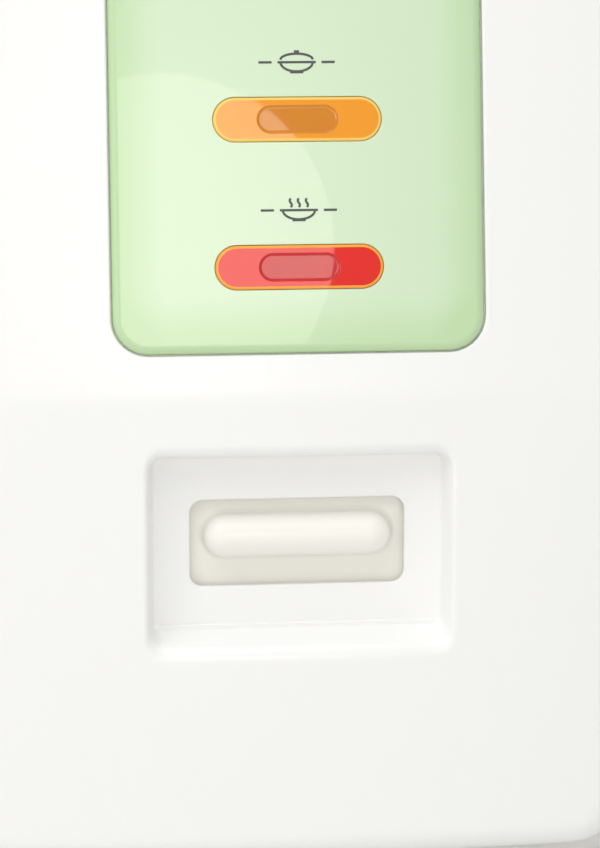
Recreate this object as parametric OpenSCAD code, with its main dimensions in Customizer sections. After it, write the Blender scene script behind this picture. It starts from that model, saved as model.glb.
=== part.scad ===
// Drum rice cooker with one cook key, a lift-out pot and a glass lid.
// Millimetres. +Z is up, the front faces -Y, and the origin is on the table under the pot's axis.

/* [Drum and base] */
// Outer radius of the drum
drum_r = 128; // [106:1:154]
// Sheet thickness of the drum
drum_sheet = 0.8; // [0.6:0.1:1.4]
// Height of the drum's upper edge above the table
drum_top_z = 203; // [169:1:244]
// Width of the air gap between the drum and the inner casing
air_gap = 7; // [5.5:0.5:9]
// Height of the feet below the base
foot_h = 6; // [5:0.5:9]
// Radius of a foot
foot_r = 9; // [7:0.5:12]
// Sheet thickness of the base plate
base_sheet = 1.2; // [0.8:0.1:1.4]
// Height of the base ring below the drum
base_ring_h = 6; // [5:0.5:6.5]

/* [Control housing] */
// How far the housing's front stands out from the drum
housing_proud = 14; // [12:0.5:17]
// Width of the housing
housing_w = 96; // [86:1:112]
// Height of the housing's top above the table
housing_top_z = 156; // [150:1:160]
// Wall thickness of the housing
housing_wall = 2.2; // [1.8:0.1:2.6]
// Radius of the housing's upright edges
housing_corner_r = 10; // [7:0.5:14]
// Radius of the front's sideways curve
front_curve_r = 400; // [330:10:480]
// Height of the crease where the front starts to lean back
crease_z = 78.3; // [76:0.1:82]
// Angle by which the upper front leans back
lean = 8; // [5:0.5:9]

/* [Key pocket] */
// Width of the pocket's mouth
pocket_w = 41.8; // [38:0.1:50]
// Height of the pocket's mouth
pocket_h = 25.9; // [24.5:0.1:27.5]
// Height of the pocket's lower lip above the table
pocket_z = 44.1; // [42:0.1:46]
// Depth of the pocket
pocket_depth = 5; // [4.4:0.1:5.6]
// Slope of each side wall of the pocket, from mouth to floor
side_draft = 0.8; // [0.3:0.1:1.5]
// Slope of the lower wall of the pocket, from mouth to floor
lower_draft = 1.2; // [0.6:0.1:1.6]
// Height of the small step at the foot of the pocket's floor
pocket_step_h = 0.65; // [0.4:0.05:0.8]
// Thickness of the pocket's floor
pocket_floor_t = 1.1; // [0.9:0.1:1.4]
// Width of the window in the pocket's floor
window_w = 29.8; // [27:0.1:35]
// Height of the window in the pocket's floor
window_h = 12.1; // [11.6:0.1:13]
// Corner radius of the window
window_r = 1.8; // [1:0.1:3]
// Height of the window's centre above the table
window_z = 57.3; // [57:0.1:57.6]

/* [Control panel] */
// Width of the panel
panel_w = 51; // [43:0.5:61]
// Height of the panel
panel_h = 60; // [52:0.5:64]
// Corner radius of the panel
panel_corner_r = 4.9; // [3:0.1:8]
// Distance from the crease up to the panel's lower edge
panel_up = 6; // [5:0.1:8]
// How far the panel stands proud of the housing
panel_proud = 0.5; // [0.3:0.1:0.8]
// Depth of the panel's seat in the housing
panel_seat = 1; // [0.8:0.1:1.2]
// Width of a lamp lens
lens_w = 22.7; // [19:0.1:27]
// Height of a lamp lens
lens_h = 5.7; // [5:0.1:6.8]
// Distance from the panel's lower edge up to the cook lens
lens_up = 11.65; // [10:0.05:13]
// Distance from the cook lens up to the warm lens
lens_pitch = 20; // [17:0.5:24]

/* [Cook key and lever] */
// Length of the key's bar
bar_l = 26; // [22:0.1:27]
// Radius of the bar's nose
bar_r = 3; // [2.6:0.1:3.2]
// Height of the bar's centre above the table, with the key up
bar_z = 58.3; // [58:0.1:58.6]
// Travel of the lever, in degrees
lever_travel = 3; // [2:0.1:3]
// Distance from the housing's front back to the lever's pivot
pivot_back = 62; // [56:1:68]
// Height of the lever's pivot above the table
pivot_z = 60; // [59:0.5:60.5]
// Radius of the pivot pin
pin_r = 1.5; // [1.2:0.1:1.7]
// Width of the lever
lever_w = 10; // [8.5:0.1:12]
// Sheet thickness of the lever
lever_sheet = 1.2; // [1:0.1:1.4]

/* [Heater and thermostat] */
// Height of the heater plate's top above the table
heater_top_z = 89; // [89:1:94]
// Thickness of the heater plate
heater_t = 9; // [8:0.5:9]
// Radius of the heater plate
heater_r = 82; // [76:1:88]
// Radius of the ring that the heater tube follows
tube_ring_r = 58; // [50:1:62]
// Radius of the heater tube
tube_r = 4; // [3.4:0.1:4.4]
// Height of the inner casing's floor above the table
shelf_z = 68; // [68:0.5:69]
// Radius of the sensor cap
cap_r = 17; // [16.5:0.1:18]
// Float of the sensor cap below the heater plate's top
cap_float = 1.2; // [0.8:0.1:1.3]
// Radius of the magnet
magnet_r = 10.6; // [9:0.1:10.8]

/* [Pot] */
// Wall thickness of the pot
pot_wall = 1.6; // [1:0.1:2.2]
// Outer radius of the pot's lower corner
pot_corner_r = 22; // [16:1:28]
// Width of the pot's rim flange
pot_flange_w = 6.4; // [5:0.1:7.6]

/* [Lid] */
// Rise of the glass dome above its edge
lid_rise = 26; // [21:0.5:32]
// Thickness of the glass
glass_t = 4; // [3:0.5:5]
// Radius of the knob's cap
knob_r = 19; // [16:0.5:23]
// Height of the knob
knob_h = 21; // [18:0.5:26]
// Distance from the lid's centre to the steam vent
vent_r = 62; // [50:1:72]

/* [Handles] */
// How far a handle reaches out from the drum
handle_reach = 34; // [28:1:41]
// Length of a handle along the drum
handle_l = 84; // [74:1:100]
// Height of a handle's grip
handle_h = 16; // [13:0.5:20]
// Height of the handles' middle above the table
handle_z = 146; // [140:1:150]

/* [Power inlet] */
// Width of the rear cover
rear_w = 60; // [50:1:70]
// Height of the rear cover
rear_h = 40; // [34:1:44]
// Height of the inlet's centre above the table
inlet_z = 42; // [40:1:44]

/* [Hidden] */
$fn = 96;

// Clearances: between fixed parts, between parts that slide past each other, and on a running pin
seat_gap = 0.2;
lift_gap = 0.3;
pin_gap = 0.05;
// Overlap of a cutting shape past the face that it cuts
over = 1;
// Segments of the large front curve
fine = 720;
// Segments of a small round part
small = 48;

base_z = foot_h;
drum_bottom_z = base_z + base_ring_h;
drum_in_r = drum_r - drum_sheet;
casing_sheet = 0.6;
casing_r = drum_r - air_gap;
casing_flange_z = drum_top_z + seat_gap / 2;
ring_in_r = casing_r - casing_sheet - 2;
ring_t = 3;
ring_top_z = casing_flange_z + casing_sheet + ring_t + seat_gap / 2;
base_plate_r = drum_r - 4.3;
foot_ring_r = drum_r - 24;
front_y = -(drum_r + housing_proud);

housing_bottom_z = drum_bottom_z + 1;
cutout_w = housing_w - 20;
cutout_bottom_z = housing_bottom_z + 16;
cutout_top_z = housing_top_z - 16;
housing_screw_angle = asin((housing_w / 2 - 5) / drum_r);
housing_screw_z = [drum_bottom_z + 14, housing_top_z - 8];
pocket_wall_t = 1.6;
pocket_step_d = 0.6;
window_lip_y = front_y + pocket_depth;

lens_gap = 0.2;
lens_flange = 2;
lamp_r = 2.2;
lamp_l = 12;
lamp_depth = 6;
board_depth = lamp_depth + lamp_r + 0.2;
board_t = 1.2;
board_w = 44;
board_h = lens_pitch + 22;
board_up = panel_up + lens_up + lens_pitch / 2;
board_boss_x = 17;

shield_gap = 0.5;
shield_t = 1.4;
shield_y = window_lip_y + pocket_floor_t + shield_gap;
pivot_y = front_y + pivot_back;
key_drop = (pivot_y - shield_y) * sin(lever_travel);
shield_low_z = window_z - window_h / 2 - 1.5;
shield_high_z = window_z + window_h / 2 + key_drop + 1.2;
lever_top_z = pivot_z + 3.2;
lever_low_z = pivot_z - 3;
lever_front_y = shield_y + shield_t + 1.2;
pad_l = 4;
magnet_lift = -pivot_y * sin(lever_travel);

bracket_in_x = lever_w / 2 + 2.6;
bracket_t = 1.2;
bracket_front_y = pivot_y - 32;
bracket_rear_y = pivot_y + 8;
bracket_low_z = pivot_z - 20;
bracket_screw_y = [pivot_y - 24, pivot_y + 3];
plunger_y = pivot_y - 20;
plunger_r = 1.5;
switch_top_z = pivot_z - 8;
switch_low_z = switch_top_z - 10;

shelf_top_z = shelf_z + casing_sheet;
shelf_hole_r = 22;
heater_low_z = heater_top_z - heater_t;
terminal_r = tube_r - 0.6;
post_ring_r = 72;
post_r = 4;
body_flange_r = 27;
body_flange_z = shelf_top_z + seat_gap / 2;
body_flange_t = 1.2;
body_in_r = 12.6;
body_t = 1;
cup_r = body_in_r - 0.6;
cup_low_z = lever_top_z + 1 + lift_gap;
cup_t = 1;
magnet_h = 6.2;
magnet_top_z = cup_low_z + cup_t + magnet_h;
ferrite_low_z = magnet_top_z + magnet_lift + cap_float + lift_gap;
cap_t = 1;
spring_wire = 0.9;
spring_coil_r = body_in_r + body_t + 0.4 + spring_wire / 2;

pot_r = ring_in_r - 1.8;
pot_in_r = pot_r - pot_wall;
pot_bottom_t = 2.2;
pot_bottom_z = heater_top_z;
pot_flange_z = ring_top_z + 0.5;
pot_top_z = pot_flange_z + pot_wall;

rim_sheet = 1;
rim_low_z = pot_top_z + lift_gap / 2;
rim_r = pot_r + pot_flange_w - 2;
rim_skirt_r = pot_in_r - 1;
rim_skirt_h = 5;
glass_r = rim_r - rim_sheet - seat_gap;
glass_edge_z = rim_low_z + rim_sheet + seat_gap;
dome_r = (glass_r * glass_r + lid_rise * lid_rise) / (2 * lid_rise);
dome_z = glass_edge_z + lid_rise - dome_r;
glass_top_z = glass_edge_z + lid_rise + glass_t;
seat_r = 15;
seat_t = 1.6;
seat_z = glass_top_z + seat_gap / 2;
knob_z = seat_z + seat_t;
knob_waist_r = 9.5;
knob_screw_r = 2;
vent_tube_r = 3;
vent_bore_r = 2.2;
vent_angle = asin(vent_r / (dome_r + glass_t));

handle_grip_t = 11;
handle_arm_t = 12;
handle_corner_r = 16;
handle_screw_y = handle_l / 2 - handle_arm_t / 2;
handle_screw_angle = asin(handle_screw_y / drum_r);

rear_y = -front_y;
rear_wall = 2.2;
socket_w = 25.4;
socket_h = 17.6;
socket_wall = 1.6;
socket_depth = 15;
socket_back = 3;
rear_screw_x = rear_w / 2 - 6;
rear_screw_angle = asin(rear_screw_x / drum_r);
rear_cut_w = socket_w + 10;
rear_cut_h = socket_h + 10;

white = [0.96, 0.96, 0.95];
steel = [0.74, 0.75, 0.76];
dark = [0.16, 0.16, 0.17];

// ---------------------------------------------------------------- helpers

// Points of an arc about (cx, cz) from angle a0 to a1
function arc(cx, cz, r, a0, a1, n = 8) =
    [for (i = [0:n]) let (a = a0 + (a1 - a0) * i / n) [cx + r * cos(a), cz + r * sin(a)]];

// Rectangle with round corners, about the origin
module rounded_rect(w, h, r) {
    square([w - 2 * r, h], center = true);
    square([w, h - 2 * r], center = true);
    for (x = [-1, 1], y = [-1, 1])
        translate([x * (w / 2 - r), y * (h / 2 - r)]) circle(r = r, $fn = small);
}

// Bar with round ends, about the origin
module stadium(w, h) {
    square([w - h, h], center = true);
    for (x = [-1, 1])
        translate([x * (w - h) / 2, 0]) circle(d = h, $fn = small);
}

// Extrudes an outline drawn in X and Z along Y, from a to b
module along_y(a, b) {
    translate([0, b, 0]) rotate([90, 0, 0]) linear_extrude(b - a) children();
}

// Box from corner lo to corner hi
module box(lo, hi) {
    translate(lo) cube(hi - lo);
}

// Tube about Z between two heights
module tube(r_out, r_in, z_lo, z_hi) {
    difference() {
        translate([0, 0, z_lo]) cylinder(r = r_out, h = z_hi - z_lo);
        translate([0, 0, z_lo - over]) cylinder(r = r_in, h = z_hi - z_lo + 2 * over);
    }
}

// Rod along Z between two heights
module rod(r, z_lo, z_hi) {
    translate([0, 0, z_lo]) cylinder(r = r, h = z_hi - z_lo, $fn = small);
}

// Pan-head screw: its head's underside is at z = 0 and its shank runs down
module screw(shank_r, shank_l, head_r, head_h) {
    rod(shank_r, -shank_l, 0);
    difference() {
        rod(head_r, 0, head_h);
        for (a = [0, 90])
            rotate([0, 0, a])
                box([-head_r * 0.6, -head_r * 0.13, head_h * 0.5], [head_r * 0.6, head_r * 0.13, head_h + over]);
    }
}

// Places something radially: local -Z points outwards at radius r, angle a from the front, height z
module from_inside(r, a, z) {
    rotate([0, 0, a]) translate([0, -r, z]) rotate([-90, 0, 0]) children();
}

// Moves children onto the leaning upper front: X along it, Z up it, -Y out of it
module on_upper_front() {
    translate([0, front_y, crease_z]) rotate([-lean, 0, 0]) children();
}

// Layer of the curved front between two depths behind its surface
module front_layer(depth_a, depth_b) {
    translate([0, front_curve_r, -over]) difference() {
        cylinder(r = front_curve_r - depth_a, h = housing_top_z, $fn = fine);
        translate([0, 0, -over])
            cylinder(r = front_curve_r - depth_b, h = housing_top_z + 2 * over, $fn = fine);
    }
}

// Helical spring about Z; the wire runs from z_lo to z_hi
module coil(coil_r, wire_r, z_lo, z_hi, turns, sides = 6, steps = 20) {
    n = turns * steps;
    points = [for (i = [0:n], j = [0:sides - 1])
        let (a = 360 * i / steps, b = 360 * j / sides, r = coil_r + wire_r * cos(b))
        [r * cos(a), r * sin(a), z_lo + wire_r + (z_hi - z_lo - 2 * wire_r) * i / n + wire_r * sin(b)]];
    walls = [for (i = [0:n - 1], j = [0:sides - 1])
        [i * sides + j, i * sides + (j + 1) % sides, (i + 1) * sides + (j + 1) % sides, (i + 1) * sides + j]];
    ends = [[for (j = [0:sides - 1]) sides - 1 - j], [for (j = [0:sides - 1]) n * sides + j]];
    polyhedron(points, concat(walls, ends), convexity = 10);
}

// ---------------------------------------------------------------- drum and base

module outer_casing() {
    color(white) difference() {
        tube(drum_r, drum_in_r, drum_bottom_z + seat_gap, drum_top_z);
        box([-cutout_w / 2, front_y, cutout_bottom_z], [cutout_w / 2, 0, cutout_top_z]);
        box([-rear_cut_w / 2, 0, inlet_z - rear_cut_h / 2], [rear_cut_w / 2, rear_y, inlet_z + rear_cut_h / 2]);
        for (a = [-1, 1], z = housing_screw_z)
            from_inside(drum_r, a * housing_screw_angle, z) rod(1.8, -5, 5);
        for (a = [-1, 1])
            from_inside(drum_r, 180 + a * rear_screw_angle, inlet_z) rod(1.8, -5, 5);
        for (side = [90, 270], a = [-1, 1])
            from_inside(drum_r, side + a * handle_screw_angle, handle_z) rod(2.1, -5, 5);
    }
}

module top_ring() {
    skirt_in_r = drum_r + seat_gap;
    color(steel) rotate_extrude() polygon(concat(
        [[ring_in_r, ring_top_z - 11], [ring_in_r + 1.2, ring_top_z - 11]],
        [[ring_in_r + 1.2, ring_top_z - ring_t], [skirt_in_r, ring_top_z - ring_t]],
        [[skirt_in_r, ring_top_z - 9], [skirt_in_r + 1.4, ring_top_z - 9]],
        arc(skirt_in_r - 1.1, ring_top_z - 2.5, 2.5, 0, 90),
        arc(ring_in_r + 1.5, ring_top_z - 1.5, 1.5, 90, 180)));
}

module inner_casing() {
    color([0.82, 0.83, 0.84]) difference() {
        union() {
            tube(casing_r, casing_r - casing_sheet, shelf_z, casing_flange_z + casing_sheet);
            tube(drum_r, casing_r - casing_sheet, casing_flange_z, casing_flange_z + casing_sheet);
            tube(casing_r, shelf_hole_r, shelf_z, shelf_top_z);
        }
        for (a = [90, 210, 330])
            rotate([0, 0, a]) translate([post_ring_r, 0, 0]) rod(2.3, shelf_z - over, shelf_top_z + over);
        for (x = [-1, 1])
            translate([x * tube_ring_r * sin(20), tube_ring_r * cos(20), 0])
                rod(5.5, shelf_z - over, shelf_top_z + over);
        for (y = bracket_screw_y)
            translate([0, y, 0]) rod(1.7, shelf_z - over, shelf_top_z + over);
    }
}

module base_ring() {
    spigot_r = drum_in_r - seat_gap;
    color([0.88, 0.88, 0.87]) rotate_extrude() polygon([
        [base_plate_r - 12, base_z + base_sheet + seat_gap], [base_plate_r - 12, base_z + base_sheet + 2],
        [spigot_r - 2.2, base_z + base_sheet + 2], [spigot_r - 2.2, drum_bottom_z + 8],
        [spigot_r, drum_bottom_z + 8], [spigot_r, drum_bottom_z], [drum_r + 0.8, drum_bottom_z],
        [drum_r + 0.8, base_z + 1.5], [drum_r - 0.7, base_z], [base_plate_r + seat_gap, base_z],
        [base_plate_r + seat_gap, base_z + base_sheet + seat_gap]]);
}

module base_plate() {
    slot_l = 26;
    slot_w = 4;
    color(steel) difference() {
        translate([0, 0, base_z]) cylinder(r = base_plate_r, h = base_sheet);
        for (i = [0:7])
            rotate([0, 0, 22.5 + 45 * i]) translate([drum_r / 2, 0, base_z - over])
                linear_extrude(base_sheet + 2 * over) stadium(slot_l, slot_w);
        for (i = [0:3])
            rotate([0, 0, 45 + 90 * i]) translate([foot_ring_r, 0, 0]) rod(1.9, 0, base_z + 5);
    }
}

// Places something at each of the four feet
module at_feet() {
    for (i = [0:3])
        rotate([0, 0, 45 + 90 * i]) translate([foot_ring_r, 0, 0]) children();
}

module feet() {
    color([0.3, 0.3, 0.3]) at_feet() difference() {
        rotate_extrude($fn = small) polygon([[0, 0], [foot_r - 1.5, 0], [foot_r - 0.5, 1],
            [foot_r, base_z - 1], [foot_r, base_z], [0, base_z]]);
        rod(4, -over, base_z - 2.5);
        rod(1.9, 0, base_z + over);
    }
}

module foot_screws() {
    color(steel) at_feet() translate([0, 0, base_z - 2.5]) mirror([0, 0, 1]) {
        rod(1.6, -10, 0);
        rod(3.4, 0, 2);
    }
}

// ---------------------------------------------------------------- control housing

// Plan of the curved front alone, at y = 0, moved inwards by inset
module front_plan(inset) {
    intersection() {
        translate([0, front_curve_r]) circle(r = front_curve_r - inset, $fn = fine);
        translate([-housing_w, 0]) square([2 * housing_w, housing_proud + drum_r / 2]);
    }
}

// Plan of the housing with its sides and round upright edges, moved inwards by inset
module housing_plan(inset) {
    r = housing_corner_r - inset;
    w = housing_w - 2 * inset;
    depth = housing_proud + drum_r / 2;
    intersection() {
        front_plan(inset);
        union() {
            translate([-w / 2, inset + r]) square([w, depth]);
            translate([-w / 2 + r, inset]) square([w - 2 * r, depth]);
            for (x = [-1, 1]) translate([x * (w / 2 - r), inset + r]) circle(r = r, $fn = small);
        }
    }
}

// The housing's outer form: an upright prism cut by the leaning front above the crease
module housing_block(inset) {
    reach = 2 * drum_r;
    intersection() {
        translate([0, front_y, housing_bottom_z + inset])
            linear_extrude(housing_top_z - housing_bottom_z - 2 * inset) housing_plan(inset);
        on_upper_front() translate([0, 0, -reach]) linear_extrude(2 * reach) front_plan(inset);
    }
}

// The hollow of the key pocket, with sloping walls and a small step at its foot
module pocket_cut() {
    half = pocket_w / 2;
    half_floor = half - side_draft;
    top_z = pocket_z + pocket_h;
    step_z = pocket_z + lower_draft;
    depth = pocket_depth;
    out = housing_proud;
    slope = lower_draft / (depth - pocket_step_d);
    intersection() {
        translate([0, front_y, 0]) linear_extrude(2 * top_z) polygon([
            [-half - out * side_draft / depth, -out], [half + out * side_draft / depth, -out],
            [half_floor, depth], [-half_floor, depth]]);
        translate([-pocket_w, front_y, 0]) rotate([90, 0, 90]) linear_extrude(2 * pocket_w) polygon([
            [-out, pocket_z - out * slope], [-out, top_z + 1], [0, top_z], [depth, top_z - 0.5],
            [depth, step_z + pocket_step_h], [depth - pocket_step_d, step_z + pocket_step_h],
            [depth - pocket_step_d, step_z]]);
    }
}

// Outline of a lamp lens at each of the two places up the panel
module at_lenses() {
    for (i = [0, 1]) at_lens(i) children();
}

module at_lens(i) {
    translate([0, 0, panel_up + lens_up + i * lens_pitch]) children();
}

module control_housing() {
    color(white) difference() {
        union() {
            difference() {
                housing_block(0);
                housing_block(housing_wall);
            }
            intersection() {
                housing_block(0);
                box([-pocket_w / 2 - pocket_wall_t, front_y, pocket_z - pocket_wall_t],
                    [pocket_w / 2 + pocket_wall_t, front_y + pocket_depth + pocket_floor_t,
                     pocket_z + pocket_h + pocket_wall_t]);
            }
            for (a = [-1, 1], z = housing_screw_z)
                intersection() {
                    housing_block(housing_wall / 2);
                    from_inside(drum_r, a * housing_screw_angle, z) rod(4, -10, 0);
                }
            on_upper_front() for (x = [-1, 1])
                translate([x * board_boss_x, 0, board_up])
                    along_y(housing_wall / 2 + board_boss_x * board_boss_x / (2 * front_curve_r), board_depth)
                        circle(r = 3, $fn = small);
        }
        translate([0, 0, -over]) cylinder(r = drum_r + seat_gap, h = drum_top_z);
        pocket_cut();
        along_y(front_y, front_y + housing_proud) translate([0, window_z])
            rounded_rect(window_w, window_h, window_r);
        on_upper_front() {
            intersection() {
                translate([0, 0, panel_up + panel_h / 2]) along_y(-housing_wall, housing_proud)
                    rounded_rect(panel_w + 2 * seat_gap, panel_h + 2 * seat_gap, panel_corner_r + seat_gap);
                front_layer(-housing_wall, panel_seat);
            }
            at_lenses() along_y(-housing_wall, board_depth) stadium(lens_w + 2 * lens_gap, lens_h + 2 * lens_gap);
            for (x = [-1, 1])
                translate([x * board_boss_x, 0, board_up]) along_y(housing_wall + 1.5, board_depth + over)
                    circle(r = 1.2, $fn = small);
        }
        for (a = [-1, 1], z = housing_screw_z)
            from_inside(drum_r, a * housing_screw_angle, z) rod(1.4, -8, over);
    }
}

module control_panel() {
    color([0.86, 0.93, 0.80]) on_upper_front() difference() {
        intersection() {
            translate([0, 0, panel_up + panel_h / 2]) along_y(-housing_wall, housing_proud)
                rounded_rect(panel_w, panel_h, panel_corner_r);
            front_layer(-panel_proud, panel_seat - 0.05);
        }
        at_lenses() along_y(-housing_wall, housing_proud)
            stadium(lens_w + 2 * lens_gap, lens_h + 2 * lens_gap);
    }
}

// Lens with a flange behind the housing's wall
module lens(i) {
    flange_depth = housing_wall + 0.1;
    on_upper_front() {
        intersection() {
            at_lens(i) along_y(-housing_wall, housing_proud) stadium(lens_w, lens_h);
            front_layer(-panel_proud - 0.1, flange_depth + 1);
        }
        intersection() {
            at_lens(i) along_y(-housing_wall, housing_proud)
                stadium(lens_w + 2 * lens_flange, lens_h + 2 * lens_flange);
            front_layer(flange_depth, flange_depth + 1);
        }
    }
}

module cook_lens() {
    color([0.93, 0.25, 0.16]) lens(0);
}

module warm_lens() {
    color([0.95, 0.55, 0.16]) lens(1);
}

// Glow lamp with its two leads, which are soldered to the board
module lamp(i) {
    on_upper_front() at_lens(i) translate([0, lamp_depth, 0]) {
        translate([-lamp_l / 2, 0, 0]) rotate([0, 90, 0]) cylinder(r = lamp_r, h = lamp_l, $fn = small);
        for (x = [-1, 1])
            translate([x * (lamp_l / 2 - 1.5), 0, 0]) along_y(0, board_depth - lamp_depth + board_t + 0.6)
                circle(r = 0.4, $fn = small);
    }
}

module cook_lamp() {
    color([1, 0.6, 0.4]) lamp(0);
}

module warm_lamp() {
    color([1, 0.7, 0.4]) lamp(1);
}

module lamp_board() {
    color([0.72, 0.58, 0.36]) on_upper_front() difference() {
        translate([0, 0, board_up]) along_y(board_depth + 0.05, board_depth + board_t)
            rounded_rect(board_w, board_h, 1.5);
        for (x = [-1, 1])
            translate([x * board_boss_x, 0, board_up]) along_y(board_depth - over, board_depth + board_t + over)
                circle(r = 1.4, $fn = small);
        at_lenses() for (x = [-1, 1])
            translate([x * (lamp_l / 2 - 1.5), 0, 0])
                along_y(board_depth - over, board_depth + board_t + over) circle(r = 0.5, $fn = small);
    }
}

module board_screws() {
    color(steel) on_upper_front() for (x = [-1, 1])
        translate([x * board_boss_x, board_depth + board_t + 0.05, board_up]) rotate([-90, 0, 0])
            screw(1.15, board_depth - housing_wall - 0.6, 2.4, 1.4);
}

module housing_screws() {
    color(steel) for (a = [-1, 1], z = housing_screw_z)
        from_inside(drum_in_r - 0.15, a * housing_screw_angle, z) screw(1.35, 8, 3, 2);
}

// ---------------------------------------------------------------- lever, key and switch

module lever_bracket() {
    plate_z = shelf_z - seat_gap / 2;
    out_x = bracket_in_x + bracket_t;
    color([0.70, 0.71, 0.72]) difference() {
        union() {
            box([-out_x, bracket_front_y, plate_z - bracket_t], [out_x, bracket_rear_y, plate_z]);
            box([-out_x, bracket_front_y, bracket_low_z], [-bracket_in_x, bracket_rear_y, plate_z]);
            box([bracket_in_x, pivot_y - 6, pivot_z - 4], [out_x, bracket_rear_y, plate_z]);
        }
        translate([0, pivot_y, pivot_z]) rotate([0, 90, 0])
            cylinder(r = pin_r + pin_gap / 2, h = 4 * out_x, center = true, $fn = small);
        for (y = bracket_screw_y)
            translate([0, y, 0]) rod(1.7, plate_z - 2 * bracket_t, plate_z + over);
        for (y = [-4, 4])
            translate([-out_x, plunger_y + y, switch_low_z + 3]) rotate([0, 90, 0])
                cylinder(r = 1.1, h = 4 * bracket_t, center = true, $fn = small);
    }
}

module bracket_screws() {
    color(steel) for (y = bracket_screw_y)
        translate([0, y, shelf_top_z + 0.05]) screw(1.5, 3.2, 3, 1.8);
}

module pivot_pin() {
    out_x = bracket_in_x + bracket_t;
    color(steel) translate([0, pivot_y, pivot_z]) rotate([0, 90, 0]) {
        cylinder(r = pin_r, h = 2 * out_x + 1.6, center = true, $fn = small);
        for (s = [-1, 1])
            translate([0, 0, s * (out_x + 0.9)]) cylinder(r = pin_r + 1, h = 1.2, center = true, $fn = small);
    }
}

// Channel of folded sheet from the key back to the pad under the magnet
module cook_lever() {
    half = lever_w / 2;
    rear_y_end = pad_l;
    color([0.76, 0.77, 0.78]) difference() {
        union() {
            box([-half, lever_front_y, lever_top_z - lever_sheet], [half, rear_y_end, lever_top_z]);
            for (x = [-half, half - lever_sheet])
                box([x, lever_front_y, lever_low_z], [x + lever_sheet, pivot_y + 16, lever_top_z]);
            box([-half, -pad_l, lever_top_z], [half, rear_y_end, lever_top_z + 1]);
        }
        translate([0, pivot_y, pivot_z]) rotate([0, 90, 0])
            cylinder(r = pin_r + pin_gap, h = 4 * half, center = true, $fn = small);
    }
}

module cook_key() {
    half = lever_w / 2;
    boss_x = half + 2;
    boss_y = lever_front_y + 6;
    nose_y = shield_y - 1.2;
    color(white) {
        difference() {
            union() {
                along_y(shield_y, shield_y + shield_t)
                    translate([0, (shield_low_z + shield_high_z) / 2])
                        rounded_rect(window_w + 6, shield_high_z - shield_low_z, 1.5);
                box([-boss_x, shield_y + shield_t / 2, lever_low_z - 1.6], [boss_x, boss_y, lever_top_z + 1.6]);
            }
            box([-half - 0.1, lever_front_y - 0.2, lever_low_z - 0.1], [half + 0.1, boss_y + over, lever_top_z + 0.1]);
        }
        translate([0, nose_y, bar_z]) {
            rotate([0, 90, 0]) cylinder(r = bar_r, h = bar_l - 2 * bar_r, center = true, $fn = small);
            for (x = [-1, 1]) translate([x * (bar_l / 2 - bar_r), 0, 0]) sphere(r = bar_r, $fn = small);
        }
        along_y(nose_y, shield_y + shield_t / 2) translate([0, bar_z]) stadium(bar_l, 2 * bar_r);
    }
}

module main_switch() {
    side_x = bracket_in_x - 0.1;
    color(dark) difference() {
        union() {
            box([-side_x, plunger_y - 8, switch_low_z], [3, plunger_y + 8, switch_top_z]);
            for (y = [-5, 5])
                box([-3.4, plunger_y + y - 0.4, switch_low_z - 5], [-0.6, plunger_y + y + 0.4, switch_low_z]);
        }
        translate([0, plunger_y, 0]) rod(plunger_r + pin_gap, switch_low_z + 3, switch_top_z + over);
        for (y = [-4, 4])
            translate([-side_x, plunger_y + y, switch_low_z + 3]) rotate([0, 90, 0])
                cylinder(r = 1.05, h = 7, center = true, $fn = small);
    }
}

module switch_screws() {
    color(steel) for (y = [-4, 4])
        translate([-bracket_in_x - bracket_t - 0.05, plunger_y + y, switch_low_z + 3]) rotate([0, -90, 0])
            screw(1, 4.2, 2, 1.2);
}

module switch_plunger() {
    color([0.75, 0.2, 0.15]) translate([0, plunger_y, 0])
        rod(plunger_r, switch_top_z - 4, lever_top_z - lever_sheet - lift_gap);
}

// ---------------------------------------------------------------- heater and thermostat

module heater_plate() {
    color([0.70, 0.71, 0.72]) difference() {
        rotate_extrude() polygon([[cap_r + 2, heater_low_z], [heater_r - 2, heater_low_z],
            [heater_r, heater_low_z + 2], [heater_r, heater_top_z - 2], [heater_r - 2, heater_top_z],
            [cap_r + 3, heater_top_z], [cap_r + 2, heater_top_z - 1]]);
        translate([0, 0, heater_low_z]) rotate_extrude() translate([tube_ring_r, 0])
            circle(r = tube_r + 0.15, $fn = small);
        for (a = [90, 210, 330])
            rotate([0, 0, a]) translate([post_ring_r, 0, 0]) rod(2.05, heater_low_z - over, heater_low_z + 6);
    }
}

// Ring of sheathed element, seated half its depth in the plate, with both ends turned down
module heater_tube() {
    color([0.45, 0.45, 0.47]) {
        translate([0, 0, heater_low_z]) rotate([0, 0, 110]) rotate_extrude(angle = 320)
            translate([tube_ring_r, 0]) circle(r = tube_r, $fn = small);
        for (x = [-1, 1])
            translate([x * tube_ring_r * sin(20), tube_ring_r * cos(20), 0]) {
                rod(terminal_r, shelf_z - 2, heater_low_z);
                rod(1.6, shelf_z - 10, shelf_z - 2);
            }
    }
}

// Places something at each of the three posts
module at_posts() {
    for (a = [90, 210, 330])
        rotate([0, 0, a]) translate([post_ring_r, 0, 0]) children();
}

module heater_posts() {
    color(steel) at_posts() difference() {
        rod(post_r, shelf_top_z + 0.05, heater_low_z - 0.05);
        rod(2.2, shelf_z, heater_top_z);
    }
}

module heater_screws() {
    color(steel) at_posts() translate([0, 0, shelf_z - 0.05]) mirror([0, 0, 1])
        screw(1.95, heater_low_z - shelf_z + 5, 4, 2.4);
}

module thermostat_body() {
    color([0.80, 0.80, 0.81]) {
        tube(body_flange_r, body_in_r, body_flange_z, body_flange_z + body_flange_t);
        tube(body_in_r + body_t, body_in_r, body_flange_z, heater_low_z + 1);
    }
}

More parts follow.
